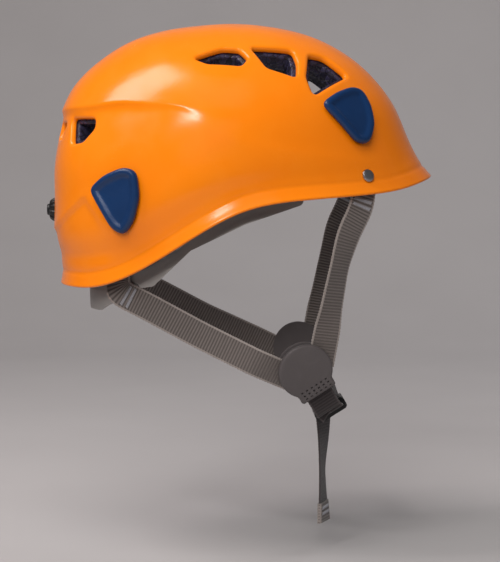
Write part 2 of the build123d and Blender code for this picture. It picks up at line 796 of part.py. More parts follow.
write("shell", make_shell(outer_skin, shell_inner))
write("foam_liner", make_liner(liner_outer, liner_inner))
for name, side in SIDES:
    write(f"lamp_clip_front_{name}", make_clip(CLIP_FRONT, CLIP_ROOT_FRONT, side))
    write(f"lamp_clip_rear_{name}", make_clip(CLIP_REAR, CLIP_ROOT_REAR, side))
    write(f"strap_rivet_{name}", make_rivet(side))
    write(f"rivet_washers_{name}", Compound(children=make_washers(side)))
    write(f"cradle_{name}", make_cradle(side, band_outer - band_inner))
    write(f"cradle_stud_{name}", make_stud(side))
    write(f"nape_pad_{name}", make_nape_pad(side, nape_outer - nape_inner))
    write(f"front_strap_{name}", on_side(front_strap(), side))
    write(f"rear_strap_{name}", on_side(rear_strap(), side))
    write(f"rear_anchor_{name}", rear_anchor(side))
    write(f"yoke_disc_back_{name}", on_side(disc_back(), side))
    write(f"yoke_disc_cap_{name}", on_side(disc_cap(), side))
write("forehead_band", make_forehead_band(fore_outer - fore_inner))
write("brow_pad", make_brow_pad(brow_outer - brow_inner))
write("crown_pads", Compound(children=make_crown_pads(pad_outer - pad_inner)))
write("adjuster_housing", make_housing())
write("adjuster_cover", make_cover())
write("adjuster_screws", Compound(children=make_screws()))
write("shaft_bushing", make_bushing())
write("pinion_shaft", make_pinion())
write("adjuster_knob", make_knob())
write("knob_screw", make_knob_screw())
write("buckle_socket", make_socket())
write("buckle_plug", make_plug())
write("latch_arm_front", make_latch(1))
write("latch_arm_rear", make_latch(-1))
write("chin_strap_short", chin_strap_short())
write("chin_strap", chin_strap())
write("strap_tail", strap_tail())
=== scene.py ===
import json
import math

import bmesh
import bpy
import numpy as np
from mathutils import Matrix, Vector
from mathutils.geometry import delaunay_2d_cdt

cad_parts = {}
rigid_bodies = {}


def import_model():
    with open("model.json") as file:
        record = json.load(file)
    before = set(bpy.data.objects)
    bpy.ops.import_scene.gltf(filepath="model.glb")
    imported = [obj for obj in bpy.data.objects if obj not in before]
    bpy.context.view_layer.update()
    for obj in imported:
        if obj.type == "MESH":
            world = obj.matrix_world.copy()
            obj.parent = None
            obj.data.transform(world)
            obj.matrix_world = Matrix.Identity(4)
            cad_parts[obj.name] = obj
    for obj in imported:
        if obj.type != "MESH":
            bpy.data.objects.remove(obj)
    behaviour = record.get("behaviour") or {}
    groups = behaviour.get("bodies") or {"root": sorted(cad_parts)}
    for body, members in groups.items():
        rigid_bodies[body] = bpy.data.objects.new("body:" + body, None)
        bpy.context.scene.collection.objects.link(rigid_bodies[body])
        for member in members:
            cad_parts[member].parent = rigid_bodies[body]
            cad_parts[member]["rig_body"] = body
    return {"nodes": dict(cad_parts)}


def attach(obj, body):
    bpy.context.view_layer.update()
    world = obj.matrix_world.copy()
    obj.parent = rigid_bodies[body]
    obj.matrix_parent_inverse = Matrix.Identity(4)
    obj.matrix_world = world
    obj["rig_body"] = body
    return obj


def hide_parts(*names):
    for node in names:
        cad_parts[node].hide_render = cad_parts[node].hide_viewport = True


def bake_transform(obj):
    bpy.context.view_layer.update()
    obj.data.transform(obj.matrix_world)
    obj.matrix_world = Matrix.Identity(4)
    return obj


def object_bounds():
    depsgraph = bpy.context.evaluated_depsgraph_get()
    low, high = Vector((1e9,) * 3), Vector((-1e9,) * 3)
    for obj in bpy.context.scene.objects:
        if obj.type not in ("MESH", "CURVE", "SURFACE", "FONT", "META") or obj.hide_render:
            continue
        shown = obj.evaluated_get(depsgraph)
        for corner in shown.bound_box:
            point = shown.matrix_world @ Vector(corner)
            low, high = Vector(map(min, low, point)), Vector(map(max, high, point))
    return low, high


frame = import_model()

# Climbing helmet, in the frame's axes: +X forward, -Y the wearer's right, +Z up.
# Shapes are worked out in millimetres and written to the meshes in metres.
cad_low, cad_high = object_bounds()
MM = 0.001
SIDES = (("right", -1), ("left", 1))
FULL_TURN = 2 * math.pi

# ---- driving dimensions ----
CROWN = 129.0
ROUNDNESS = 2.2
SOFT_AXIS = 0.08
EGG = 0.05
RIM = [(-131, -66), (-108, -65), (-70, -50.5), (-35, -29), (0, -10), (43, -1), (93, 3), (122, 7.5), (145, 15)]
# Rings from the rim (0) to the crown: rise, front, back, half width.
RINGS = [
    (0.0, 145.0, -136.0, 109.5),
    (0.055, 139.5, -134.6, 106.0),
    (0.16, 131.8, -139.0, 106.0),
    (0.30, 124.5, -140.3, 105.0),
    (0.45, 117.0, -140.3, 101.0),
    (0.60, 105.0, -137.0, 92.5),
    (0.74, 89.0, -127.5, 79.0),
    (0.86, 68.0, -105.0, 61.0),
    (0.945, 43.0, -76.0, 39.5),
    (0.985, 19.0, -43.5, 20.5),
    (0.998, 2.5, -18.0, 7.5),
]
SHELL_WALL = 2.4
LINER_DEPTH = 2.8
LINER_WALL = 14.8
LINER_SETBACK = 7.5

# Crest of the step in the shell: degrees round from the front, rise.
CREST = [
    (25, 0.20), (53, 0.24), (69, 0.30), (80, 0.35), (91, 0.45), (99, 0.55), (112, 0.63),
    (123, 0.667), (137, 0.675), (158, 0.67), (180, 0.66),
]
# Top of the recess behind the ears and across the nape, in the same terms.
CHEVRON = [
    (128, 0.16), (135, 0.275), (140, 0.34), (145, 0.31), (152, 0.275), (158, 0.245),
    (168, 0.215), (180, 0.205),
]
STEP_DEPTH = 2.3
STEP_RUN = 6.5
STEP_FADE = 46.0
RIM_GROOVE = 10.2

# Corners in the side or rear view, and how softly they are rounded.
VENTS_SIDE = [
    ([(-31.5, 100.5), (-12.5, 107.0), (-1.0, 106.5), (5.0, 100.5), (1.0, 95.5), (-22.5, 97.0)], 1.6),
    ([(9.5, 108.0), (38.0, 106.5), (41.0, 97.5), (40.5, 87.5), (20.5, 94.0)], 2.0),
    ([(51.5, 103.0), (61.5, 101.5), (78.0, 88.5), (54.0, 74.5), (49.5, 86.5)], 2.4),
]
VENTS_BACK = [
    ([(44.5, 57.0), (65.5, 57.0), (68.0, 50.5), (63.0, 41.0), (53.0, 39.5)], 1.8),
    ([(12.0, 54.0), (34.0, 54.0), (30.0, 43.0), (14.0, 43.5)], 2.2),
]
CLIP_FRONT = [
    (58.2, 65.3), (68.5, 72.5), (79.6, 76.6), (86.0, 74.8), (91.8, 64.0),
    (94.0, 51.0), (90.5, 38.8), (82.5, 38.8),
]
CLIP_REAR = [
    (-104.1, 5.7), (-94.5, 14.6), (-80.5, 20.6), (-72.2, 18.2), (-70.2, 1.0),
    (-74.0, -15.0), (-80.5, -25.0), (-88.3, -21.0),
]
CLIP_ROOT_FRONT = (68.5, 64.0)
CLIP_ROOT_REAR = (-94.5, 2.5)
RIVET_AT = (92.0, 15.5)
ANCHOR_AT = (-98.0, -46.0)
KNOB_Z = -11.0
KNOB_HOLE_R = 11.6

HOLE_REACH = 45.0
# Millimetres for a radian round the dome where the gaps round the holes are filled.
FILL_RADIUS = 90.0

# Shell edge round a vent: (outwards from the outline, depth) after the rolled lip.
VENT_ROLL = 3.5
VENT_TUCK = [(0.0, 4.2), (0.3, 4.7), (0.95, 4.8), (1.5, 4.4), (1.7, 3.7), (2.3, 2.9), (VENT_ROLL, SHELL_WALL)]
# Section of a lamp clip's edge: (inset from the outline, height over the shell).
CLIP_WALL = [
    (2.6, 2.3), (1.0, 2.3), (0.3, 2.45), (0.0, 2.9), (0.0, 3.5), (0.15, 4.2), (0.6, 5.0), (1.3, 5.7),
    (2.2, 6.1), (3.1, 6.2), (4.0, 6.0), (4.8, 5.6), (5.6, 5.05), (6.4, 4.6), (7.1, 4.35),
]
CLIP_DISH = 3.9
CLIP_UNDER = 2.3
# Turned sections: (radius, height).
RIVET_SECTION = [
    (0, -9.2), (3.9, -9.2), (4.2, -8.9), (4.2, -8.3), (3.8, -8.0), (2.4, -8.0), (2.4, 0.1), (4.3, 0.15),
    (4.7, 0.4), (4.8, 0.9), (4.6, 1.35), (4.0, 1.85), (3.1, 2.25), (2.0, 2.5), (1.0, 2.62), (0, 2.65),
]
KNOB_SECTION = [
    (1.3, 0.0), (10.2, 0.0), (10.6, 0.4), (10.6, 2.4), (10.2, 2.9), (9.6, 3.0), (9.4, 3.6), (9.1, 4.6),
    (8.5, 5.8), (7.8, 6.9), (7.2, 7.6), (6.6, 8.1), (5.8, 8.3), (4.6, 8.4), (4.3, 8.8), (4.2, 9.7),
    (3.8, 10.15), (2.75, 10.2), (2.7, 9.2), (1.3, 9.2),
]
KNOB_GRIP = (5, 12)

DISC_AT = np.array([46.9, -80.0, -124.3])
DISC_OUT = (0.221, -0.954, -0.201)
CHIN_WAY = (0.53, 0.0, -0.85)
BUCKLE_AT = np.array([67.0, -43.0, -157.5])
BUCKLE_PULL = (0.0, 1.0, -0.05)
BUCKLE_WIDE = (0.85, 0.0, 0.53)

WEBBING_WIDTH = 20.0
WEBBING_THICK = 1.5
RIB_PITCH = 2.2
FOLD_THICK = 3.4
PICOT = 0.3
TACK_WIDTH = 15.0
CAP_RADIUS = 20.0
CAP_EDGE = 1.9
DIMPLE_DEPTH = 1.3
PAD_SWELL = 1.3
SEAM_HALF = 1.1
SEAM_DEPTH = 0.8
# Across a strap: (share of the half width, share of the half thickness).
STRAP_SECTION = [
    (-0.985, 0.6), (-0.93, 0.95), (-0.86, 1), (-0.5, 1), (0, 1), (0.5, 1), (0.86, 1), (0.93, 0.95), (0.985, 0.6),
]
GLOSS_SPREAD = 0.12


# ---- small maths ----
def unit(v):
    v = np.asarray(v, float)
    return v / np.maximum(np.linalg.norm(v, axis=-1, keepdims=True), 1e-12)


def ease(t):
    """Smooth step from 0 to 1."""
    t = np.clip(t, 0, 1)
    return t * t * (3 - 2 * t)


def bell(t):
    return np.exp(-(t * t))


def circle(count, offset=0.0):
    """Points of a unit circle."""
    turn = np.arange(count) * FULL_TURN / count + offset
    return np.stack([np.cos(turn), np.sin(turn)], -1)


def run_along(points):
    """Distance along a line at each of its points."""
    return np.concatenate([[0], np.cumsum(np.linalg.norm(np.diff(points, axis=0), axis=1))])


def between(at, run, points):
    """Points of a line at given distances along it."""
    return np.stack([np.interp(at, run, column) for column in points.T], -1)


def round_angle(angle):
    """Degrees from the front, the same on both sides."""
    return np.degrees(np.abs((angle + math.pi) % FULL_TURN - math.pi))


class Spline:
    """Natural cubic spline through given points."""

    def __init__(self, xs, ys):
        x, y = np.array(xs, float), np.array(ys, float)
        n, h = len(x), np.diff(x)
        system = np.eye(n)
        right = np.zeros(n)
        for i in range(1, n - 1):
            system[i, i - 1 : i + 2] = h[i - 1], 2 * (h[i - 1] + h[i]), h[i]
            right[i] = 6 * ((y[i + 1] - y[i]) / h[i] - (y[i] - y[i - 1]) / h[i - 1])
        self.x, self.y, self.h = x, y, h
        self.bend = np.linalg.solve(system, right)

    def __call__(self, at):
        at = np.asarray(at, float)
        i = np.clip(np.searchsorted(self.x, at, side="right") - 1, 0, len(self.h) - 1)
        h = self.h[i]
        a, b = (self.x[i + 1] - at) / h, (at - self.x[i]) / h
        curve = (a**3 - a) * self.bend[i] + (b**3 - b) * self.bend[i + 1]
        return a * self.y[i] + b * self.y[i + 1] + curve * h * h / 6


# ---- the shell's surface ----
rim_curve = Spline(*zip(*RIM))
crest_curve = Spline(*zip(*CREST))
APEX_X = (RINGS[-1][1] + RINGS[-1][2]) / 2
_from_top = [0.0] + [math.sqrt(1 - r[0]) for r in RINGS[::-1]]
front_curve, back_curve, half_curve = (
    Spline(_from_top, [top] + [ring[k] for ring in RINGS[::-1]]) for k, top in ((1, APEX_X), (2, APEX_X), (3, 0.0))
)


def skin(rise, angle):
    """Points of the plain outer skin at a rise from rim to crown and an angle round the head."""
    c, s = np.cos(angle), np.sin(angle)
    soft = SOFT_AXIS**2
    power = ROUNDNESS / 2
    q = ((c * c + soft) ** power + (s * s + soft) ** power) ** (-1 / ROUNDNESS)
    q = q * ((1 + soft) ** power + soft**power) ** (1 / ROUNDNESS)
    down = np.sqrt(np.clip(1 - rise, 0, 1))
    front, back, half = front_curve(down), back_curve(down), half_curve(down)
    x = (front + back) / 2 + (front - back) / 2 * q * c
    y = half * q * s * (1 - EGG * c)
    rim_x = (RINGS[0][1] + RINGS[0][2]) / 2 + (RINGS[0][1] - RINGS[0][2]) / 2 * q * c
    z = rim_curve(rim_x) * (1 - rise) + CROWN * rise
    return np.stack([x, y, z], -1)


def meridian(rise, angle):
    """Step of the skin for one unit of rise, in millimetres."""
    low, high = np.clip(rise - 1e-4, 0, 0.9998), np.clip(rise + 1e-4, 0, 0.9998)
    return (skin(high, angle) - skin(low, angle)) / (high - low)[..., None]


def skin_normal(rise, angle):
    rise = np.clip(rise, 0, 0.9996)
    around = skin(rise, angle + 1e-3) - skin(rise, angle - 1e-3)
    return unit(np.cross(around, meridian(rise, angle)))


def relief(rise, angle):
    """How far the moulded surface stands out from the plain skin."""
    turn = round_angle(angle)
    crest = crest_curve(np.clip(turn, CREST[0][0], 180))
    reach = np.linalg.norm(meridian(crest, angle), axis=-1)
    below = (crest - rise) * reach
    rear = ease((turn - 86) / 40)
    under = np.clip(below, 0, None)
    step = np.sin(math.pi / 2 * np.clip(under / STEP_RUN, 0, 1)) * (1 - ease((under - STEP_RUN) / STEP_FADE))
    out = rear * (0.3 * bell(below / 6) - STEP_DEPTH * step)
    flare = ease(below / 7) * (1 - ease((below - 7) / 20))
    out = out + 0.35 * (1 - rear) * ease((turn - CREST[0][0]) / 20) * flare

    line = np.interp(turn, *zip(*CHEVRON))
    under = (line - rise) * reach
    inside = ease((turn - CHEVRON[0][0]) / 7) * ease((rise - 0.075) / 0.05)
    out = out + inside * (0.35 * bell((under + 1) / 3) - 1.3 * ease(under / 4))

    lip = rise * np.linalg.norm(meridian(np.full_like(rise, 0.06), angle), axis=-1)
    return out - 0.55 * bell((lip - RIM_GROOVE) / 1.6)


def shell_point(rise, angle, depth):
    """Point at a depth under the moulded surface; deep points leave its relief behind."""
    depth = np.asarray(depth, float) + 0 * rise
    out = relief(rise, angle) * np.clip(1 - depth / 14, 0, 1) - depth
    return skin(rise, angle) + skin_normal(rise, angle) * out[..., None]


SIDE_VIEW = ((1, 0, 0), (0, 0, 1))
REAR_VIEW = ((0, 1, 0), (0, 0, 1))
_guess = np.meshgrid(np.linspace(0.004, 0.99, 100), np.arange(240) * FULL_TURN / 240, indexing="ij")
_guess_rise, _guess_angle = (g.ravel() for g in _guess)
_guess_point = skin(_guess_rise, _guess_angle)


def seek(target, axes, facing):
    """Rise and angle of the skin points that lie at target along the two axes, on the side that faces."""
    target, axes = np.asarray(target, float), np.asarray(axes, float)
    seen = _guess_point @ axes.T
    away = np.where(_guess_point @ np.asarray(facing, float) > 0, 0.0, 1e9)
    first = [np.argmin(((seen - t) ** 2).sum(1) + away) for t in target]
    rise, angle = _guess_rise[first], _guess_angle[first]
    for _ in range(14):
        miss = target - skin(rise, angle) @ axes.T
        by_rise = meridian(rise, angle) @ axes.T
        by_angle = (skin(rise, angle + 1e-4) - skin(rise, angle - 1e-4)) @ axes.T / 2e-4
        det = by_rise[:, 0] * by_angle[:, 1] - by_rise[:, 1] * by_angle[:, 0]
        det = np.where(np.abs(det) < 1e-6, 1e-6, det)
        d_rise = (miss[:, 0] * by_angle[:, 1] - miss[:, 1] * by_angle[:, 0]) / det
        d_angle = (by_rise[:, 0] * miss[:, 1] - by_rise[:, 1] * miss[:, 0]) / det
        rise = np.clip(rise + np.clip(d_rise, -0.05, 0.05), 0.0, 0.999)
        angle = angle + np.clip(d_angle, -0.1, 0.1)
    return rise, angle % FULL_TURN


class Board:
    """Flat drawing board: an origin, x and y along it and z out of it."""

    def __init__(self, origin, x, z):
        self.origin = np.asarray(origin, float)
        self.z = unit(z)
        x = np.asarray(x, float)
        self.x = unit(x - self.z * (x @ self.z))
        self.y = np.cross(self.z, self.x)
        self.axes = np.array([self.x, self.y])

    def at(self, x, y, z):
        return self.origin + self.x * x + self.y * y + self.z * z

    def way(self, x, y):
        return self.x * x + self.y * y

    def flat(self, points):
        return (points - self.origin) @ self.axes.T

    def seek(self, flat):
        """Rise and angle of the skin points over points of the board."""
        return seek(np.asarray(flat) + self.axes @ self.origin, self.axes, self.z)


def view_board(corners, view, facing):
    """Board laid on the skin over an outline given in the side or rear view, and the outline on it."""
    rise, angle = seek(corners, view, facing)
    centre = rise.mean(keepdims=True), angle.mean(keepdims=True)
    board = Board(skin(*centre)[0], (1, 0, 0), skin_normal(*centre)[0])
    return board, board.flat(skin(rise, angle))


def side_board(corners, side):
    return view_board(corners, SIDE_VIEW, (0, side, 0))


def rear_board(corners, side):
    return view_board([(side * y, z) for y, z in corners], REAR_VIEW, (-1, 0, 0))


def pebble(corners, soft, step, grow):
    """Closed outline through a polygon with softly rounded corners, anticlockwise, and its outward normals."""
    corners = np.asarray(corners, float)
    x, y = corners[:, 0], corners[:, 1]
    if np.sum(x * np.roll(y, -1) - y * np.roll(x, -1)) < 0:
        corners = corners[::-1]
    closed = np.vstack([corners, corners[:1]])
    run = run_along(closed)
    count = max(24, round(run[-1] / step))
    at = np.arange(count) * run[-1] / count
    line = between(at, run, closed)
    wave = np.fft.fftfreq(count, run[-1] / count)
    low_pass = np.exp(-2 * (math.pi * wave * soft) ** 2)
    line = np.real(np.fft.ifft(np.fft.fft(line, axis=0) * low_pass[:, None], axis=0))
    normal = outward(line)
    return line + normal * (grow + 0.25 * soft), normal


def outward(line):
    """Outward normals of a closed anticlockwise line."""
    ahead = unit(np.roll(line, -1, 0) - np.roll(line, 1, 0))
    return np.stack([ahead[:, 1], -ahead[:, 0]], -1)


# ---- mesh helpers ----
class Body:
    """Vertices and faces of one piece, in millimetres."""

    def __init__(self):
        self.points = []
        self.faces = []
        self.count = 0

    def add(self, points):
        """Adds points and returns their indices, in the same shape."""
        points = np.asarray(points, float)
        shape = points.shape[:-1]
        self.points.append(points.reshape(-1, 3))
        index = np.arange(self.count, self.count + self.points[-1].shape[0]).reshape(shape)
        self.count += index.size
        return index

    def strip(self, rows, closed=True):
        """Quads between neighbouring rows of indices."""
        for low, high in zip(rows[:-1], rows[1:]):
            for j in range(len(low) if closed else len(low) - 1):
                k = (j + 1) % len(low)
                self.face(low[j], low[k], high[k], high[j])

    def fan(self, ring, middle):
        for j in range(len(ring)):
            self.face(ring[j], ring[(j + 1) % len(ring)], middle)

    def face(self, *corners):
        self.faces.append(tuple(int(corner) for corner in corners))

    def mesh(self, name):
        mesh = bpy.data.meshes.new(name)
        mesh.from_pydata((np.vstack(self.points) * MM).tolist(), [], self.faces)
        return mesh

    def piece(self, name, look, replaces=(), body="helmet", sharp=None, uv=None):
        """Makes the object, gives it a material and lets it ride on its body."""
        mesh = self.mesh(name)
        mesh.validate()
        obj = placed(name, mesh)
        even_normals(mesh)
        if uv is not None:
            layer = mesh.uv_layers.new(name="along")
            loops = np.zeros(len(mesh.loops), int)
            mesh.loops.foreach_get("vertex_index", loops)
            layer.data.foreach_set("uv", np.asarray(uv, float)[loops].ravel())
        finish_piece(obj, look, body, replaces, sharp)
        return obj


def placed(name, data):
    """A new object in the scene."""
    obj = bpy.data.objects.new(name, data)
    bpy.context.scene.collection.objects.link(obj)
    return obj


def even_normals(mesh):
    bm = bmesh.new()
    bm.from_mesh(mesh)
    bmesh.ops.recalc_face_normals(bm, faces=bm.faces)
    bm.to_mesh(mesh)
    bm.free()


def finish_piece(obj, look, body, replaces, sharp=None):
    """Material, body and the CAD nodes that the piece stands for."""
    obj.data.shade_smooth()
    if sharp is not None:
        obj.data.set_sharp_from_angle(angle=math.radians(sharp))
    obj.data.materials.clear()
    obj.data.materials.append(look)
    if body is not None:
        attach(obj, body)
    # Blender adds a number to a name that the frame's own materials already have.
    if replaces:
        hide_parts(*replaces)


def inside_loops(points, starts, ends):
    """Even-odd rule: which points lie inside closed loops of segments."""
    x, y = points[:, 0:1], points[:, 1:2]
    x0, y0, x1, y1 = starts[:, 0], starts[:, 1], ends[:, 0], ends[:, 1]
    spans = (y0 > y) != (y1 > y)
    rise = np.where(np.abs(y1 - y0) < 1e-12, 1e-12, y1 - y0)
    crossing = spans & (x < x0 + (y - y0) / rise * (x1 - x0))
    return crossing.sum(1) % 2 == 1


def fill(flat, edges):
    """Triangles of a flat region bounded by closed loops of edges."""
    vertices = [Vector((float(p[0]), float(p[1]))) for p in flat]
    result = delaunay_2d_cdt(vertices, [tuple(map(int, e)) for e in edges], [], 0, 1e-7)
    origin = [list(o)[0] if len(o) else -1 for o in result[3]]
    triangles = np.array([[origin[v] for v in face] for face in result[2] if len(face) == 3])
    triangles = triangles[(triangles >= 0).all(1)]
    middle = flat[triangles].mean(1)
    edges = np.asarray(edges)
    return triangles[inside_loops(middle, flat[edges[:, 0]], flat[edges[:, 1]])]


def lathe(body, profile, origin, axis, turns, wave=None):
    """Turned solid: profile of (radius, height) from the axis at the bottom to the axis at the top."""
    axis = unit(axis)
    across = unit(np.cross(axis, (0.31, 0.52, 0.79)))
    other = np.cross(axis, across)
    angles = np.arange(turns) * FULL_TURN / turns
    spokes = circle(turns) @ np.array([across, other])
    rows = []
    for k, (radius, height) in enumerate(profile):
        centre = np.asarray(origin, float) + axis * height
        if radius == 0:
            rows.append(body.add(centre[None]))
            continue
        reach = radius + (wave(angles, k) if wave else 0 * angles)
        rows.append(body.add(centre + spokes * reach[:, None]))
    for low, high in zip(rows[:-1], rows[1:]):
        if len(low) == 1:
            body.fan(high, low[0])
        elif len(high) == 1:
            body.fan(low, high[0])
        else:
            body.strip([low, high])


# ---- materials ----
class Look:
    """A Principled material whose detail comes from noise, cells and waves in the object's own space."""

    def __init__(self, name, color, roughness, metallic=0.0, **sockets):
        self.material = bpy.data.materials.new(name)
        self.material.use_nodes = True
        self.tree = self.material.node_tree
        self.shader = self.tree.nodes["Principled BSDF"]
        self.set("Base Color", (*color, 1.0))
        self.set("Roughness", roughness)
        self.set("Metallic", metallic)
        for key, value in sockets.items():
            self.set(key.replace("_", " ").title().replace("Ior", "IOR"), value)
        self.coordinate = self.node("ShaderNodeTexCoord").outputs
        self.space = self.coordinate["Object"]
        self.normal = None

    def set(self, key, value):
        self.shader.inputs[key].default_value = value

    def node(self, kind, **settings):
        made = self.tree.nodes.new(kind)
        for key, value in settings.items():
            setattr(made, key, value)
        return made

    def link(self, source, target):
        self.tree.links.new(source, target)

    def texture(self, kind, output, values, **settings):
        made = self.node(kind, **settings)
        for key, value in values.items():
            made.inputs[key].default_value = value
        self.link(self.space, made.inputs["Vector"])
        return made.outputs[output]

    def noise(self, scale, detail=3.0, distortion=0.0):
        values = {"Scale": scale, "Detail": detail, "Distortion": distortion}
        return self.texture("ShaderNodeTexNoise", "Fac", values)

    def cells(self, scale, feature="F1", output="Distance", randomness=1.0):
        values = {"Scale": scale, "Randomness": randomness}
        return self.texture("ShaderNodeTexVoronoi", output, values, feature=feature)

    def ramp(self, source, stops):
        """Colour or value by a ramp of (position, value or colour)."""
        made = self.node("ShaderNodeValToRGB")
        elements = made.color_ramp.elements
        while len(elements) < len(stops):
            elements.new(0.5)
        for element, (at, value) in zip(elements, stops):
            element.position = at
            element.color = (value, value, value, 1) if isinstance(value, (int, float)) else (*value, 1)
        self.link(source, made.inputs["Fac"])
        return made.outputs["Color"]

    def math(self, kind, a, b=0.0):
        made = self.node("ShaderNodeMath", operation=kind)
        for socket, value in zip(made.inputs, (a, b)):
            if isinstance(value, (int, float)):
                socket.default_value = value
            else:
                self.link(value, socket)
        return made.outputs[0]

    def scaled(self, source, gain, offset=0.0):
        made = self.math("MULTIPLY", source, gain)
        return self.math("ADD", made, offset) if offset else made

    def mix(self, share, a, b):
        made = self.node("ShaderNodeMix", data_type="RGBA")
        for index, value in ((0, share), (6, a), (7, b)):
            if isinstance(value, (int, float)):
                made.inputs[index].default_value = value
            elif isinstance(value, tuple):
                made.inputs[index].default_value = (*value, 1)
            else:
                self.link(value, made.inputs[index])
        return made.outputs[2]

    def bump(self, height, strength, distance_mm):
        made = self.node("ShaderNodeBump")
        made.inputs["Strength"].default_value = strength
        made.inputs["Distance"].default_value = distance_mm * MM
        self.link(height, made.inputs["Height"])
        if self.normal is not None:
            self.link(self.normal, made.inputs["Normal"])
        self.normal = made.outputs["Normal"]
        self.link(self.normal, self.shader.inputs["Normal"])

    def paint(self, source):
        self.link(source, self.shader.inputs["Base Color"])

    def gloss(self, source):
        self.link(source, self.shader.inputs["Roughness"])


def shell_look():
    """Glossy moulded orange with a trace of orange peel, rub marks and fine scratches."""
    look = Look("shell_orange", (0.9, 0.21, 0.003), 0.22, specular_ior_level=0.42)
    wear = look.ramp(look.noise(38, 6, 0.6), [(0.42, 0.0), (0.72, 1.0)])
    drift = look.noise(9, 2)
    base = look.mix(look.ramp(drift, [(0.3, 0.0), (0.7, 1.0)]), (0.93, 0.232, 0.003), (0.87, 0.20, 0.002))
    look.paint(look.mix(look.scaled(wear, 0.12), base, (0.95, 0.3, 0.02)))
    scratch = look.ramp(look.cells(230, "DISTANCE_TO_EDGE"), [(0.0, 1.0), (0.012, 0.0)])
    marks = look.math("MULTIPLY", scratch, look.ramp(look.noise(55, 3, 1.2), [(0.6, 0.0), (0.72, 1.0)]))
    look.gloss(look.math("ADD", look.scaled(wear, 0.10, 0.17), look.scaled(marks, 0.18)))
    look.bump(look.noise(420, 2), 0.05, 0.25)
    look.bump(look.noise(60, 1), 0.04, 0.6)
    return look.material


def foam_look():
    """Expanded bead foam: pressed cells with dark seams between them."""
    look = Look("liner_foam", (0.02, 0.018, 0.032), 0.42, specular_ior_level=0.55)
    bead = look.cells(260, output="Color")
    edge = look.cells(260, "DISTANCE_TO_EDGE")
    gap = look.ramp(edge, [(0.0, 0.0), (0.09, 1.0)])
    shade = look.node("ShaderNodeSeparateColor")
    look.link(bead, shade.inputs[0])
    tint = look.mix(shade.outputs[0], (0.012, 0.011, 0.02), (0.045, 0.04, 0.085))
    look.paint(look.mix(gap, (0.004, 0.004, 0.006), tint))
    look.gloss(look.ramp(shade.outputs[1], [(0.0, 0.22), (1.0, 0.55)]))
    look.bump(look.ramp(edge, [(0.0, 0.0), (0.22, 1.0)]), 0.55, 0.5)
    look.bump(look.noise(900, 3), 0.15, 0.1)
    return look.material


def plastic_look(name, color, roughness, grain=1500.0, depth=0.05, wear=0.3):
    """Moulded plastic with a spark-eroded grain, slight mottling and paler rubbed spots."""
    look = Look(name, color, roughness, specular_ior_level=0.45)
    rubbed = look.ramp(look.noise(70, 5, 0.8), [(0.5, 0.0), (0.8, 1.0)])
    lighter = tuple(c * 1.35 + 0.012 for c in color)
    base = look.mix(look.noise(26, 3), tuple(c * 0.86 for c in color), tuple(c * 1.1 for c in color))
    look.paint(look.mix(look.scaled(rubbed, wear), base, lighter))
    look.gloss(look.scaled(look.noise(180, 4), GLOSS_SPREAD, roughness - GLOSS_SPREAD / 2))
    look.bump(look.cells(grain, "SMOOTH_F1"), 0.35, depth)
    look.bump(look.noise(grain * 0.4, 4), 0.25, depth * 1.4)
    return look.material


def steel_look(name, roughness):
    """Satin metal with fine drawn lines."""
    look = Look(name, (0.42, 0.41, 0.42), roughness, metallic=1.0)
    look.space = look.texture("ShaderNodeMapping", "Vector", {"Scale": (1, 1, 24)})
    lines = look.noise(240, 4)
    look.paint(look.mix(lines, (0.34, 0.335, 0.35), (0.5, 0.49, 0.49)))
    look.gloss(look.scaled(lines, 0.2, roughness - 0.1))
    look.bump(lines, 0.2, 0.04)
    return look.material


def webbing_look(name, dark, light):
    """Ribbed webbing: painted light on the rib crowns and painted shade in the rib valleys, warp threads over each
    rib and paler edges.
    """
    look = Look(name, light, 0.78, specular_ior_level=0.25, sheen_weight=0.25, sheen_roughness=0.5)
    axis = look.node("ShaderNodeSeparateXYZ")
    look.link(look.coordinate["UV"], axis.inputs[0])
    across, along = axis.outputs[0], axis.outputs[1]
    crown, thread = (
        look.scaled(look.math("SINE", look.scaled(way, FULL_TURN / (pitch * MM))), 0.5, 0.5)
        for way, pitch in ((along, RIB_PITCH), (across, 0.55))
    )
    edge = look.math("GREATER_THAN", look.math("ABSOLUTE", across), 8.7 * MM)
    fuzz = look.noise(1400, 4)
    # Painted light and shade: the colour runs from dark in the rib valleys to light on the rib crowns.
    body = look.mix(look.math("MULTIPLY", crown, look.scaled(fuzz, 0.7, 0.45)), dark, light)
    body = look.mix(look.scaled(thread, 0.22), body, dark)
    look.paint(look.mix(look.scaled(edge, 0.75), body, tuple(c * 1.45 for c in light)))
    look.gloss(look.scaled(fuzz, 0.2, 0.66))
    look.bump(thread, 0.5, 0.12)
    look.bump(fuzz, 0.35, 0.12)
    return look.material


def knit_look(name, dark, light):
    """Brushed knit over foam: small loops in rows with a soft nap."""
    look = Look(name, light, 0.9, specular_ior_level=0.2, sheen_weight=0.45, sheen_roughness=0.45)
    loops = look.cells(620, "F1", "Distance", 0.35)
    nap = look.noise(260, 5)
    body = look.mix(look.ramp(loops, [(0.1, 1.0), (0.62, 0.0)]), dark, light)
    look.paint(look.mix(look.scaled(nap, 0.35), body, light))
    look.gloss(look.scaled(nap, 0.15, 0.8))
    look.bump(look.ramp(loops, [(0.05, 1.0), (0.7, 0.0)]), 0.6, 0.35)
    look.bump(nap, 0.3, 0.4)
    return look.material


def thread_look(name, color):
    look = Look(name, color, 0.6, sheen_weight=0.3, sheen_roughness=0.4)
    twist = look.noise(2600, 3, 2.0)
    look.paint(look.mix(twist, tuple(c * 0.6 for c in color), color))
    look.bump(twist, 0.5, 0.08)
    return look.material


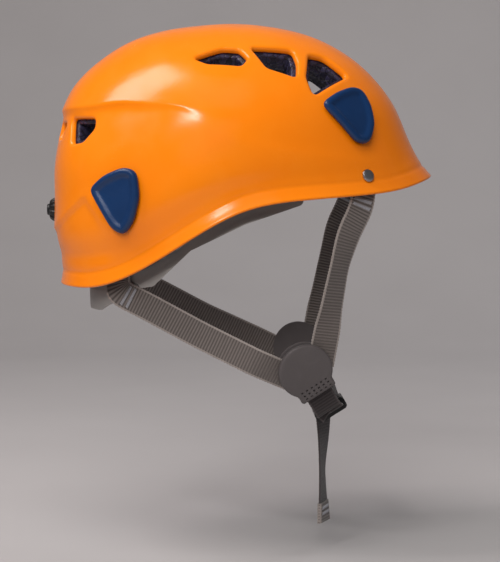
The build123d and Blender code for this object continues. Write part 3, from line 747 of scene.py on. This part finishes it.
orange = shell_look()
foam = foam_look()
clip_blue = plastic_look("clip_blue", (0.004, 0.028, 0.10), 0.34, grain=1300, depth=0.03, wear=0.15)
cap_grey = plastic_look("grey_moulded", (0.088, 0.077, 0.078), 0.46, grain=1100, depth=0.05)
cradle_grey = plastic_look("cradle_grey", (0.31, 0.295, 0.285), 0.5)
black = plastic_look("black_moulded", (0.006, 0.006, 0.007), 0.40, wear=0.09)
rivet_satin = steel_look("rivet_steel", 0.42)
screw_steel = steel_look("screw_steel", 0.3)
webbing = webbing_look("webbing_grey", (0.08, 0.067, 0.063), (0.235, 0.205, 0.19))
# Painted shade: a darkened copy of the grey webbing, worn by the chin straps and the tail.
webbing_painted_shade = webbing_look("webbing_shaded_copy", (0.026, 0.021, 0.022), (0.048, 0.040, 0.041))
pad_knit = knit_look("pad_fabric", (0.012, 0.012, 0.014), (0.05, 0.05, 0.055))
silver_thread = thread_look("sewn_thread", (0.5, 0.5, 0.55))


# ---- shell and liner ----
def hole_list(grow):
    """Every opening through the dome: its drawing board, outline and outward normals."""
    holes = []
    for _, side in SIDES:
        for vents, board in ((VENTS_SIDE, side_board), (VENTS_BACK, rear_board)):
            for corners, soft in vents:
                patch, flat = board(corners, side)
                holes.append((patch, *pebble(flat, soft, 0.8, grow), True))
    patch, _ = rear_board([(0.0, KNOB_Z)], 1)
    holes.append((patch, circle(72) * KNOB_HOLE_R, circle(72), False))
    return holes


def row_steps(spacing):
    """Rises of the grid's rows, a given number of millimetres apart on the helmet's side."""
    rises = np.linspace(0, 0.9995, 4000)
    points = skin(rises, np.full_like(rises, 1.9))
    run = run_along(points)
    rows, at = [], 0.0
    while at < run[-1]:
        rows.append(float(np.interp(at, run, rises)))
        at += spacing(rows[-1])
    return np.array(rows), lambda rise: np.interp(rise, rises, run)


class Dome:
    """A perforated dome with an outer face, an inner face, rolled hole edges and a rim."""

    def __init__(self, columns, rows, warp):
        self.body = Body()
        angle = np.arange(columns) * FULL_TURN / columns
        rise, self.angle = np.meshgrid(rows, angle, indexing="ij")
        self.rise = warp(rise, self.angle)
        self.skin = skin(self.rise, self.angle)

    def cut(self, holes, margin, along):
        """Marks the grid points that the holes and their rolled edges take up."""
        dead = np.zeros(self.rise.shape, bool)
        for patch, line, _, _ in holes:
            near = np.linalg.norm(self.skin - patch.origin, axis=-1) < HOLE_REACH
            flat = patch.flat(self.skin[near])
            gap = np.sqrt(((flat[:, None] - line[None]) ** 2).sum(-1)).min(1)
            inside = inside_loops(flat, line, np.roll(line, -1, 0))
            dead[near] |= (gap < margin) | inside
        alive = ~dead
        right = np.roll(alive, -1, 1)
        self.quads = alive[:-1] & alive[1:] & right[:-1] & right[1:]
        self.along = along

    def build(self, holes, edge, bottom, inner_depth, outer_depth=0.0):
        """edge: (offset, depth) from outside to inside round a hole; bottom: (drop, depth) under the rim."""
        body, rise, angle = self.body, self.rise, self.angle
        columns = rise.shape[1]
        outer = body.add(shell_point(rise, angle, outer_depth))
        inner = body.add(shell_point(rise, angle, inner_depth))
        for i, j in zip(*np.nonzero(self.quads)):
            k = (j + 1) % columns
            body.face(outer[i, j], outer[i, k], outer[i + 1, k], outer[i + 1, j])
            body.face(inner[i, j], inner[i + 1, j], inner[i + 1, k], inner[i, k])
        self.gap_fill(holes, edge, outer, inner)
        for ring, depth in ((outer[-1], outer_depth), (inner[-1], inner_depth)):
            body.fan(ring, body.add([(APEX_X, 0.0, CROWN - depth)])[0])
        base = [outer[0]]
        up = unit(meridian(rise[0], angle[0]))
        for drop, depth in bottom:
            base.append(body.add(shell_point(rise[0], angle[0], depth) - up * drop))
        body.strip(base + [inner[0]])

    def gap_fill(self, holes, edge, outer, inner):
        """Triangles between the grid and each hole's outermost ring, on both faces, and the rings."""
        body = self.body
        rows, columns = self.rise.shape
        used = {}
        for i, j in zip(*np.nonzero(self.quads)):
            k = (j + 1) % columns
            corners = [(i, j), (i, k), (i + 1, k), (i + 1, j)]
            for pair in zip(corners, corners[1:] + corners[:1]):
                key = tuple(sorted(pair))
                used[key] = used.get(key, 0) + 1
        ends = (0, rows - 1)
        border = [e for e, n in used.items() if n == 1 and not (e[0][0] == e[1][0] and e[0][0] in ends)]
        flat, out_ids, in_ids, index, edges = [], [], [], {}, []
        for pair in border:
            for i, j in pair:
                if (i, j) not in index:
                    index[(i, j)] = len(flat)
                    flat.append((self.angle[i, j] * FILL_RADIUS, self.along(self.rise[i, j])))
                    out_ids.append(outer[i, j])
                    in_ids.append(inner[i, j])
            edges.append((index[pair[0]], index[pair[1]]))
        for patch, line, normal, rolled in holes:
            share = 1.0 if rolled else 0.5
            rings = []
            for k, (offset, depth) in enumerate(edge):
                rise, angle = patch.seek(line + normal * offset * share)
                rings.append(body.add(shell_point(rise, angle, depth)))
                if k == 0:
                    start = len(flat)
                    flat.extend(zip(angle * FILL_RADIUS, self.along(rise)))
            body.strip(rings)
            out_ids.extend(rings[0])
            in_ids.extend(rings[-1])
            edges.extend((start + n, start + (n + 1) % len(line)) for n in range(len(line)))
        for a, b, c in fill(np.array(flat), edges):
            body.face(out_ids[a], out_ids[b], out_ids[c])
            body.face(in_ids[a], in_ids[c], in_ids[b])


def lift_at_crest(rise, angle):
    """Bends the grid's rows so that they run along the crest."""
    turn = round_angle(angle)
    crest = crest_curve(np.clip(turn, CREST[0][0], 180))
    shift = np.clip(crest - CREST[-1][1], -0.1, 0.02) * ease((turn - 75) / 25)
    return rise + shift * bell((rise - CREST[-1][1]) / 0.16)


def shell_spacing(rise):
    """Row spacing in millimetres, closer at the crest and at the rim."""
    return 2.4 - 1.5 * bell((rise - 0.645) / 0.045) - 1.35 * bell(rise / 0.075)


def make_shell(holes):
    rows, along = row_steps(shell_spacing)
    rows = rows + 0.006 * (1 - rows)
    dome = Dome(280, rows, lift_at_crest)
    dome.cut(holes, 4.4, along)
    edge = []
    for off in (VENT_ROLL, 2.9, 2.3, 1.75, 1.25, 0.8, 0.42, 0.14, 0.0):
        edge.append((off, 3.3 * (1 - (1 - (1 - off / VENT_ROLL) ** 2.3) ** (1 / 2.3))))
    edge += VENT_TUCK
    bottom = []
    for turn in (0.35, 0.75, 1.15, 1.57, 1.99, 2.39, 2.79):
        bottom.append((1.15 * math.sin(turn), SHELL_WALL / 2 * (1 - math.cos(turn))))
    dome.build(holes, edge, bottom, SHELL_WALL)
    dome.body.piece("helmet_shell", orange, ["shell"])


def lift_from_rim(rise, angle):
    """Squeezes the grid's rows so that the liner starts a little above the rim."""
    low = LINER_SETBACK / np.linalg.norm(meridian(np.full_like(angle, 0.06), angle), axis=-1)
    return low + (1 - low) * rise


def make_liner(holes):
    rows, along = row_steps(lambda rise: 4.2)
    dome = Dome(170, rows, lift_from_rim)
    dome.cut(holes, 5.2, along)
    deep = LINER_DEPTH + LINER_WALL
    edge = [
        (4.3, LINER_DEPTH), (3.9, 4.2), (3.3, 5.2), (1.5, 5.3), (-0.1, 5.4), (-0.7, 5.8), (-1.1, 6.6),
        (-1.2, 7.8), (-1.2, 12.0), (-1.2, deep - 1.6), (-0.8, deep - 0.5), (0.2, deep), (4.3, deep),
    ]
    bottom = [
        (0.0, LINER_DEPTH), (1.6, LINER_DEPTH + 0.5), (2.4, LINER_DEPTH + 1.8),
        (2.4, deep - 4.5), (1.6, deep - 1.8), (0.5, deep - 0.5),
    ]
    dome.build(holes, edge, bottom, deep, LINER_DEPTH)
    dome.body.piece("bead_foam_liner", foam, ["foam_liner"], sharp=50)


# The liner's openings are a little narrower than the shell's, so its edges show through the vents.
make_shell(hole_list(0.4))
make_liner(hole_list(-1.6))


# ---- lamp clips ----
def laid(body, patch, flat, height):
    """Adds points drawn on a board, at a height over the shell."""
    return body.add(shell_point(*patch.seek(flat), -height))


def make_clip(name, node, corners, root, side):
    """Dished plate that follows the shell, standing on a foot at its pointed end."""
    patch, flat = side_board(corners, side)
    line, normal = pebble(flat, 3.4, 0.7, 0.35)
    middle = line.mean(0)
    body = Body()
    over = [laid(body, patch, line - normal * inset, height) for inset, height in CLIP_WALL]
    first, last = (line - normal * CLIP_WALL[k][0] - middle for k in (0, -1))
    for share in (0.86, 0.7, 0.52, 0.34, 0.16):
        over.append(laid(body, patch, middle + last * share, CLIP_DISH + 0.4 * share))
    under = [over[0]] + [laid(body, patch, middle + first * share, CLIP_UNDER) for share in (0.7, 0.4, 0.15)]
    for rings, height in ((over, CLIP_DISH), (under, CLIP_UNDER)):
        body.strip(rings)
        body.fan(rings[-1], laid(body, patch, [middle], height)[0])

    patch, _ = side_board([root], side)
    foot = ((6.4, 0.1), (7.2, 0.3), (6.6, 1.0), (6.4, 2.6))
    rings = [laid(body, patch, circle(40) * radius, height) for radius, height in foot]
    body.strip(rings)
    for ring, height in ((rings[0], 0.1), (rings[-1], 2.7)):
        body.fan(ring, laid(body, patch, [(0, 0)], height)[0])
    body.piece(name, clip_blue, [node])


for name, side in SIDES:
    make_clip(f"front_lamp_clip_{name}", f"lamp_clip_front_{name}", CLIP_FRONT, CLIP_ROOT_FRONT, side)
    make_clip(f"rear_lamp_clip_{name}", f"lamp_clip_rear_{name}", CLIP_REAR, CLIP_ROOT_REAR, side)


# ---- rivets and knob ----
def make_rivet(name, side):
    """Domed strap rivet: low crowned head with a rolled edge, shank and spread tail."""
    board, _ = side_board([RIVET_AT], side)
    body = Body()
    lathe(body, RIVET_SECTION, board.origin, board.z, 56)
    body.piece(f"brow_rivet_{name}", rivet_satin, [f"strap_rivet_{name}"], sharp=40)


def knob_wave(angles, k):
    """Ten finger flutes round the knob's grip."""
    first, last = KNOB_GRIP
    if not first <= k <= last:
        return 0 * angles
    flute = np.maximum(0, np.cos(angles * 10)) ** 1.5
    return -flute * (1.0 if k < last - 1 else 0.5)


def make_knob():
    body = Body()
    lathe(body, KNOB_SECTION, (-136.4, 0, KNOB_Z), (-1, 0, 0), 120, knob_wave)
    body.piece("fit_knob", black, ["adjuster_knob"], "knob", 40)


for name, side in SIDES:
    make_rivet(name, side)
make_knob()


# ---- straps ----
disc = Board(DISC_AT, CHIN_WAY, DISC_OUT)
buckle = Board(BUCKLE_AT, BUCKLE_WIDE, BUCKLE_PULL)


def mirrored(points, side):
    points = np.array(points, float)
    if side > 0:
        points[..., 1] *= -1
    return points


def eased(line, steps):
    """A line with its corners rounded by a bell-shaped average, its ends held."""
    reach = min(int(3 * steps) + 1, len(line) - 2)
    weight = np.exp(-0.5 * (np.arange(-reach, reach + 1) / steps) ** 2)
    start = 2 * line[0] - line[1 : reach + 1][::-1]
    end = 2 * line[-1] - line[-reach - 1 : -1][::-1]
    longer = np.vstack([start, line, end])
    return np.stack([np.convolve(longer[:, k], weight / weight.sum(), mode="valid") for k in range(3)], -1)


def make_strap(name, node, stations, look, side=-1, rides="helmet", rib=0.17, bend=6.0,
               width=WEBBING_WIDTH, thick=WEBBING_THICK):
    """Ribbed webbing along a smooth line: each station is a centre and the direction of its width.

    rides is a body's name, or a tuple of two bodies' names and the strap's end points, whose values are not used: the
    strap then rides on no body.
    """
    centre = np.array([station[0] for station in stations], float)
    wide = np.array([unit(station[1]) for station in stations])
    run = run_along(centre)
    at = np.linspace(0, run[-1], round(run[-1] / (RIB_PITCH / 6)) + 1)
    middle = eased(between(at, run, centre), bend / at[1])
    ahead = unit(np.gradient(middle, axis=0))
    across = eased(between(at, run, wide), 5 / at[1])
    across = unit(across - ahead * (across * ahead).sum(-1, keepdims=True))
    up = np.cross(ahead, across)
    length = run_along(middle)
    crown = np.cos(FULL_TURN * length / RIB_PITCH)
    body = Body()
    loops, uv = [], []
    for sign in (1, -1):
        for share, rise in STRAP_SECTION[::sign]:
            edge = abs(share) > 0.9
            swell = rib * crown * (0.45 if edge else 1.0)
            out = width / 2 * share + (PICOT * (0.5 + 0.5 * crown) * np.sign(share) if edge else 0)
            lift = sign * (thick / 2 * rise + swell)
            loops.append(middle + across * (out + 0 * crown)[:, None] + up * lift[:, None])
            uv.append(np.stack([0 * crown + width / 2 * share * MM, length * MM], -1))
    grid = mirrored(np.stack(loops, 1), side)
    index = body.add(grid)
    body.strip(index)
    for ring in (0, -1):
        body.fan(index[ring], body.add(grid[ring].mean(0)[None])[0])
    flat = np.vstack([np.stack(uv, 1).reshape(-1, 2), [[0, 0], [0, length[-1] * MM]]])
    stretched = isinstance(rides, tuple)
    obj = body.piece(name, look, [node] if node else [], None if stretched else rides, 60, flat)
    if stretched:
        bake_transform(obj)
    return middle, across, up, length


def into_disc(wide, spots):
    return [(disc.at(*spot), wide) for spot in spots]


def front_stations():
    board, _ = side_board([RIVET_AT], -1)
    top, down, flat = board.origin - board.z * 5.4, -board.y, board.x
    return [
        (top - down * 9, flat),
        (top + down * 12, flat),
        (top + down * 22 + np.array([-1.5, 1.0, 0]), flat),
        ((78.0, -84.0, -26.0), (0.86, 0.45, 0.2)),
        ((71.5, -83.5, -50.0), (0.70, 0.68, 0.18)),
        ((65.5, -82.5, -82.0), (0.80, 0.55, 0.1)),
    ] + into_disc(disc.way(0.641, 0.768), [(-16.3, 28.9, -1.3), (-7.1, 21.2, -1.3), (4.4, 11.6, -1.3)])


def rear_stations():
    board, _ = side_board([ANCHOR_AT], -1)
    held, along, flat = board.origin - board.z * 18.8, board.y, board.x
    return [
        (held + along * 8, flat),
        (held - along * 10, flat),
        (held - along * 17 + board.z * 2.4, flat),
        ((-89.5, -70.5, -68.0), (0.75, 0.1, 0.7)),
        ((-70.0, -75.0, -77.0), (0.45, 0, 1.0)),
        ((-30.0, -77.5, -98.5), (0.45, 0, 1.0)),
    ] + into_disc(disc.way(-0.55, 0.835), [(-23.8, -26.9, -1.2), (-7.1, -15.9, -1.3), (1.8, -10.0, -1.3)])


def chin_stations(spots):
    """Out of a disc, over its lower edge and on through the given spots."""
    out_of_disc = [(-6.0, 0, 0.6), (22.0, 0, 0.6), (33.0, 0, 0.5), (36.5, 0, 0.0), (38.6, 0, -1.4), (38.2, 0, -3.4)]
    return into_disc(disc.y, out_of_disc) + [(spot, buckle.x) for spot in spots]


def make_straps():
    for name, side in SIDES:
        for end, stations, tack_at in (("front", front_stations, 26), ("rear", rear_stations, 40)):
            path = make_strap(f"webbing_{end}_{name}", f"{end}_strap_{name}", stations(), webbing, side)
            bar_tack(f"sewing_{end}_{name}", path, tack_at, side)
    to_socket = chin_stations([buckle.at(0, 0.4, -24.0), buckle.at(0, 0.4, -14.8)])
    make_strap("webbing_chin_short", "chin_strap_short", to_socket, webbing_painted_shade, rib=0.05, bend=1.6)
    # The long side is drawn on the wearer's right and mirrored.
    far = mirrored(buckle.at(0, 0, 35.8), 1)
    to_plug = chin_stations(
        [(66.9, -64.0, -158.2), (67.5, -44.0, -159.8), (68.0, -20.0, -161.8), (67.4, -1.0, -161.0), far]
    )
    start, end = (tuple(mirrored(point, 1) * MM) for point in (disc.at(38.0, 0, 0), far))
    make_strap("webbing_chin_long", "chin_strap", to_plug, webbing_painted_shade, 1, ("helmet", "plug", start, end), 0.05, 1.6)
    x, y, _ = buckle.at(-5.0, 0, 28.0)
    tail = [
        ((x + 0.5, y, -167.8), (0.55, 0.84, 0)),
        ((x + 0.8, y, -182.0), (0.42, 0.91, 0)),
        ((x - 0.4, y, -208.0), (0.20, 0.98, 0)),
        ((x + 0.2, y, -228.0), (0.28, 0.96, 0)),
        ((x + 1.0, y, -248.0), (0.40, 0.92, 0)),
    ]
    middle, across, _, run = make_strap("webbing_tail", "strap_tail", tail, webbing_painted_shade, rides="plug", rib=0.08)
    at = run[-1] - 0.3 - np.array([15, 10, 5, 0])
    fold = list(zip(between(at, run, middle), between(at, run, across)))
    # The folded end wears the plain grey webbing, lighter than the painted shade on the rest of the tail.
    path = make_strap("webbing_tail_fold", None, fold, webbing, -1, "plug", 0.08, 1.0, 20.4, FOLD_THICK)
    bar_tack("sewing_tail_fold", path, 4, rides="plug", thick=FOLD_THICK)


def tube(body, points, radius):
    """A thread of round section along a line of points."""
    ahead = unit(np.gradient(points, axis=0))
    first = unit(np.cross(ahead, [0.31, 0.17, 0.93]))
    second = np.cross(ahead, first)
    index = body.add(np.stack([points + (first * c + second * s) * radius for c, s in circle(6)], 1))
    body.strip(index)
    for end in (0, -1):
        body.fan(index[end], body.add(points[end][None])[0])


def bar_tack(name, path, at_mm, side=-1, rides="helmet", thick=WEBBING_THICK):
    """Dense zigzag sewing across both faces of a strap, with its thread sunk a little into the webbing."""
    middle, across, up, run = path
    body = Body()
    share = np.linspace(0, 1, 150)
    out = (share - 0.5) * TACK_WIDTH
    for row in range(2):
        along = at_mm + row * 4.2 + 1.1 * np.sin(share * FULL_TURN * 17)
        centre, wide, tall = (between(along, run, line) for line in (middle, across, up))
        for face in (1, -1):
            lift = face * (thick / 2 + 0.2 + 0.08 * np.cos(share * FULL_TURN * 34))
            points = centre + unit(wide) * out[:, None] + unit(tall) * lift[:, None]
            tube(body, mirrored(points, side), 0.17)
    body.piece(name, silver_thread, body=rides)


make_straps()


# ---- yoke disc caps ----
def cap_outline():
    """Round cap with a spout towards the chin, in the disc's own plane."""
    turn = np.radians(np.arange(46.0, 315.0, 3.0))
    arc = CAP_RADIUS * np.stack([np.cos(turn), np.sin(turn)], -1)
    lower = [(15.5, -14.2), (19.6, -14.2), (20.6, -13.8), (21.0, -12.8)]
    upper = [(x, -y) for x, y in lower[::-1]]
    return pebble(np.vstack([arc, lower, upper]), 0.55, 0.7, -0.1)


def cap_height(flat):
    """Height of the cap's gently domed face."""
    return 6.4 - 0.55 * np.clip((flat**2).sum(-1) / CAP_RADIUS**2, 0, 1.6)


def distance_to(line, points):
    return np.linalg.norm(points[:, None] - line[None], axis=-1).min(1)


def make_disc_cap(name, side):
    """Cap of a yoke disc, with square grip dimples sunk into its face."""
    line, normal = cap_outline()
    body = Body()

    def place(flat, height):
        flat = np.asarray(flat, float)
        out = np.broadcast_to(height, flat.shape[:-1])
        points = disc.origin + flat @ disc.axes + out[..., None] * disc.z
        return body.add(mirrored(points, side))

    section = [(2.0, 1.8), (0.4, 1.8), (0.0, 2.2)]
    rings = [place(line - normal * inset, height) for inset, height in section]
    for turn in np.linspace(0, math.pi / 2, 7):
        inset, drop = (CAP_EDGE * (1 - part) for part in (math.cos(turn), math.sin(turn)))
        rings.append(place(line - normal * inset, cap_height(line) - drop))
    inner = line - normal * 2.6
    rings.append(place(inner, cap_height(inner)))
    body.strip(rings)
    body.fan(rings[0], place([(0, 0)], 1.8)[0])

    flat, ids = list(inner), list(rings[-1])
    edges = [(n, (n + 1) % len(inner)) for n in range(len(inner))]
    square = circle(12, FULL_TURN / 24)
    square = 0.72 * square / np.abs(square).max(1, keepdims=True) ** 0.6
    centres = [(12.4 + 3.0 * row, (column - 3) * 4.0 + 1.5 + row * 0.5) for row in range(3) for column in range(6)]
    for centre in centres:
        mouth, hole = square * 1.16 + centre, square + centre
        top = cap_height(hole)
        walls = [place(mouth, top), place(hole, top - 0.2), place(hole, top - DIMPLE_DEPTH)]
        body.strip(walls)
        body.fan(walls[-1], place([centre], top.mean() - DIMPLE_DEPTH)[0])
        start = len(flat)
        flat.extend(mouth)
        ids.extend(walls[0])
        edges.extend((start + n, start + (n + 1) % 12) for n in range(12))
    grid = np.stack(np.meshgrid(np.arange(-17, 19, 1.7), np.arange(-17, 18, 1.7)), -1).reshape(-1, 2)
    clear = inside_loops(grid, inner, np.roll(inner, -1, 0)) & (distance_to(inner, grid) > 1)
    grid = grid[clear & (distance_to(np.array(centres), grid) > 1.6)]
    flat.extend(grid)
    ids.extend(place(grid, cap_height(grid)))
    for triangle in fill(np.array(flat), edges):
        body.face(*(ids[corner] for corner in triangle))
    body.piece(f"yoke_cap_{name}", cap_grey, [f"yoke_disc_cap_{name}"], sharp=50)


# ---- CAD nodes that keep their shape ----
def softened(node, look, width_mm):
    """A copy of a CAD node with its sharp edges broken, which stands for the node."""
    source = frame["nodes"][node]
    mesh = source.data.copy()
    bm = bmesh.new()
    bm.from_mesh(mesh)
    bmesh.ops.remove_doubles(bm, verts=bm.verts, dist=1e-6)
    bmesh.ops.dissolve_limit(bm, angle_limit=math.radians(1.5), verts=bm.verts, edges=bm.edges)
    bm.to_mesh(mesh)
    bm.free()
    obj = placed(f"{node}_moulded", mesh)
    modify(obj, "BEVEL", width=width_mm * MM, segments=2, limit_method="ANGLE", angle_limit=math.radians(38))
    finish_piece(obj, look, source["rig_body"], [node], 35)


def keep(look, *nodes):
    """Gives CAD nodes that stay their material."""
    for node in nodes:
        mesh = frame["nodes"][node].data
        mesh.materials.clear()
        mesh.materials.append(look)
        mesh.shade_smooth()
        mesh.set_sharp_from_angle(angle=math.radians(32))


def cushion(node, channels):
    """Padded piece grown from its CAD stand-in: remeshed, blown up as cloth, then sewn along its channels."""
    source = frame["nodes"][node]
    obj = placed(f"{node}_cushion", source.data.copy())
    modify(obj, "REMESH", mode="VOXEL", voxel_size=2.0 * MM)
    start = values_of(obj, "co")
    modify(obj, "SMOOTH", factor=0.6, iterations=4)
    blow_up(obj)
    moved = values_of(obj, "co") - start
    reach = np.linalg.norm(moved, axis=1, keepdims=True)
    soft = start + moved * np.minimum(1, PAD_SWELL * MM / np.maximum(reach, 1e-9))
    obj.data.vertices.foreach_set("co", soft.ravel())
    modify(obj, "SUBSURF", levels=1)
    sew(obj, channels)
    finish_piece(obj, pad_knit, source["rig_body"], [node])


def modify(obj, kind, **settings):
    """Runs one modifier over an object."""
    modifier = obj.modifiers.new(kind.lower(), kind)
    for key, value in settings.items():
        setattr(modifier, key, value)
    settle(obj)


def settle(obj):
    """Applies an object's modifiers to its mesh."""
    graph = bpy.context.evaluated_depsgraph_get()
    final = bpy.data.meshes.new_from_object(obj.evaluated_get(graph))
    obj.modifiers.clear()
    obj.data = final


def values_of(obj, key):
    """Positions ("co") or normals of an object's vertices."""
    values = np.zeros(len(obj.data.vertices) * 3)
    obj.data.vertices.foreach_get(key, values)
    return values.reshape(-1, 3)


def blow_up(obj):
    """Cloth simulation with pressure from inside and no gravity."""
    cloth = obj.modifiers.new("cloth", "CLOTH")
    cloth.settings.use_pressure = True
    cloth.settings.uniform_pressure_force = 4.0
    cloth.settings.quality = 4
    cloth.settings.effector_weights.gravity = 0.0
    scene = bpy.context.scene
    for step in range(1, 13):
        scene.frame_set(step)
    settle(obj)
    scene.frame_set(1)


def sew(obj, channels):
    """Presses sewn channels into a cushion: each is a point and a direction across it, in millimetres."""
    points = values_of(obj, "co")
    press = np.zeros(len(points))
    for at, way in channels:
        press = np.maximum(press, bell((points / MM - np.array(at)) @ unit(way) / SEAM_HALF))
    points -= values_of(obj, "normal") * (SEAM_DEPTH * MM * press)[:, None]
    obj.data.vertices.foreach_set("co", points.ravel())
    obj.data.update()


ACROSS, FORWARD = (0, 1, 0), (1, 0, 0)
cushion(
    "brow_pad",
    [((0, y, 0), (0.25 * np.sign(y), 1, 0)) for y in (-52, -26, 0, 26, 52)],
)
cushion(
    "crown_pads",
    [((0, y, 0), ACROSS) for y in (-12, 12)] + [((x, 0, 0), FORWARD) for x in (-48, 22)],
)
for name, side in SIDES:
    cushion(f"nape_pad_{name}", [((0, side * y, 0), ACROSS) for y in (33, 50)])
for name, side in SIDES:
    keep(rivet_satin, f"rivet_washers_{name}")
    keep(black, f"cradle_stud_{name}", f"rear_anchor_{name}")
    softened(f"cradle_{name}", cradle_grey, 0.5)
    softened(f"yoke_disc_back_{name}", cap_grey, 0.4)
    make_disc_cap(name, side)
keep(screw_steel, "adjuster_screws", "knob_screw")
keep(black, "shaft_bushing")
keep(cap_grey, "pinion_shaft")
softened("forehead_band", cradle_grey, 0.4)
for node, width in (
    ("adjuster_housing", 0.6), ("adjuster_cover", 0.4), ("buckle_socket", 0.5), ("buckle_plug", 0.45),
    ("latch_arm_front", 0.35), ("latch_arm_rear", 0.35),
):
    softened(node, black, width)


# ---- stage, light and camera ----
def make_stage():
    look = Look("studio_floor", (0.46, 0.44, 0.435), 0.75)
    look.paint(look.mix(look.noise(6, 4), (0.44, 0.42, 0.42), (0.48, 0.46, 0.46)))
    size, back, bend, height = 9.0, 2.2, 0.9, 4.0
    profile = [(-size, 0.0)]
    for turn in np.linspace(0, math.pi / 2, 9):
        profile.append((back - bend + bend * math.sin(turn), bend * (1 - math.cos(turn))))
    profile.append((back, height))
    body = Body()
    floor_z = cad_low[2] - 0.02
    rows = [body.add(np.array([(x, y, z + floor_z) for x in (-size, size)]) / MM) for y, z in profile]
    body.strip(rows, closed=False)
    mesh = body.mesh("studio_floor")
    mesh.shade_smooth()
    mesh.materials.append(look.material)
    placed("studio_floor", mesh)


def area_light(name, at, size, power, color, mirrored):
    """Rectangular light aimed at the head seat; mirrored tells whether glossy surfaces show it."""
    light = bpy.data.lights.new(name, "AREA")
    light.shape = "RECTANGLE"
    light.size, light.size_y = size
    light.energy = power
    light.color = color
    obj = placed(name, light)
    obj.location = at
    obj.rotation_euler = (-Vector(at)).to_track_quat("-Z", "Y").to_euler()
    obj.visible_glossy = mirrored


def make_lights():
    for light in (
        ("key", (-0.90, -0.24, 1.28), (0.62, 0.86), 14, (1.0, 0.93, 0.92), True),
        ("top", (-0.2, -1.1, 1.9), (1.0, 1.0), 17, (1.0, 0.98, 0.95), False),
        ("front", (-0.5, -2.6, 1.2), (1.2, 1.0), 34, (1.0, 0.97, 0.94), False),
        ("streak", (-0.62, -1.25, 1.0), (0.30, 0.08), 3.4, (1.0, 0.98, 0.97), True),
        ("back", (1.1, 1.3, 1.4), (1.2, 0.8), 10, (0.96, 0.97, 1.0), False),
    ):
        area_light(*light)
    world = bpy.data.worlds.new("studio")
    world.use_nodes = True
    sky = world.node_tree.nodes["Background"]
    sky.inputs["Color"].default_value = (0.62, 0.61, 0.62, 1)
    sky.inputs["Strength"].default_value = 0.2
    bpy.context.scene.world = world
    bpy.context.scene.view_settings.view_transform = "Standard"


def make_camera():
    data = bpy.data.cameras.new("camera")
    data.sensor_width = 36
    data.lens = 117.48
    camera = placed("camera", data)
    eye, aim = Vector((0.0076, -1.3966, 0.0321)), Vector((0.0076, 0.0, -0.0656))
    camera.location = eye
    camera.rotation_euler = (aim - eye).to_track_quat("-Z", "Y").to_euler()
    bpy.context.scene.camera = camera


make_stage()
make_lights()
make_camera()
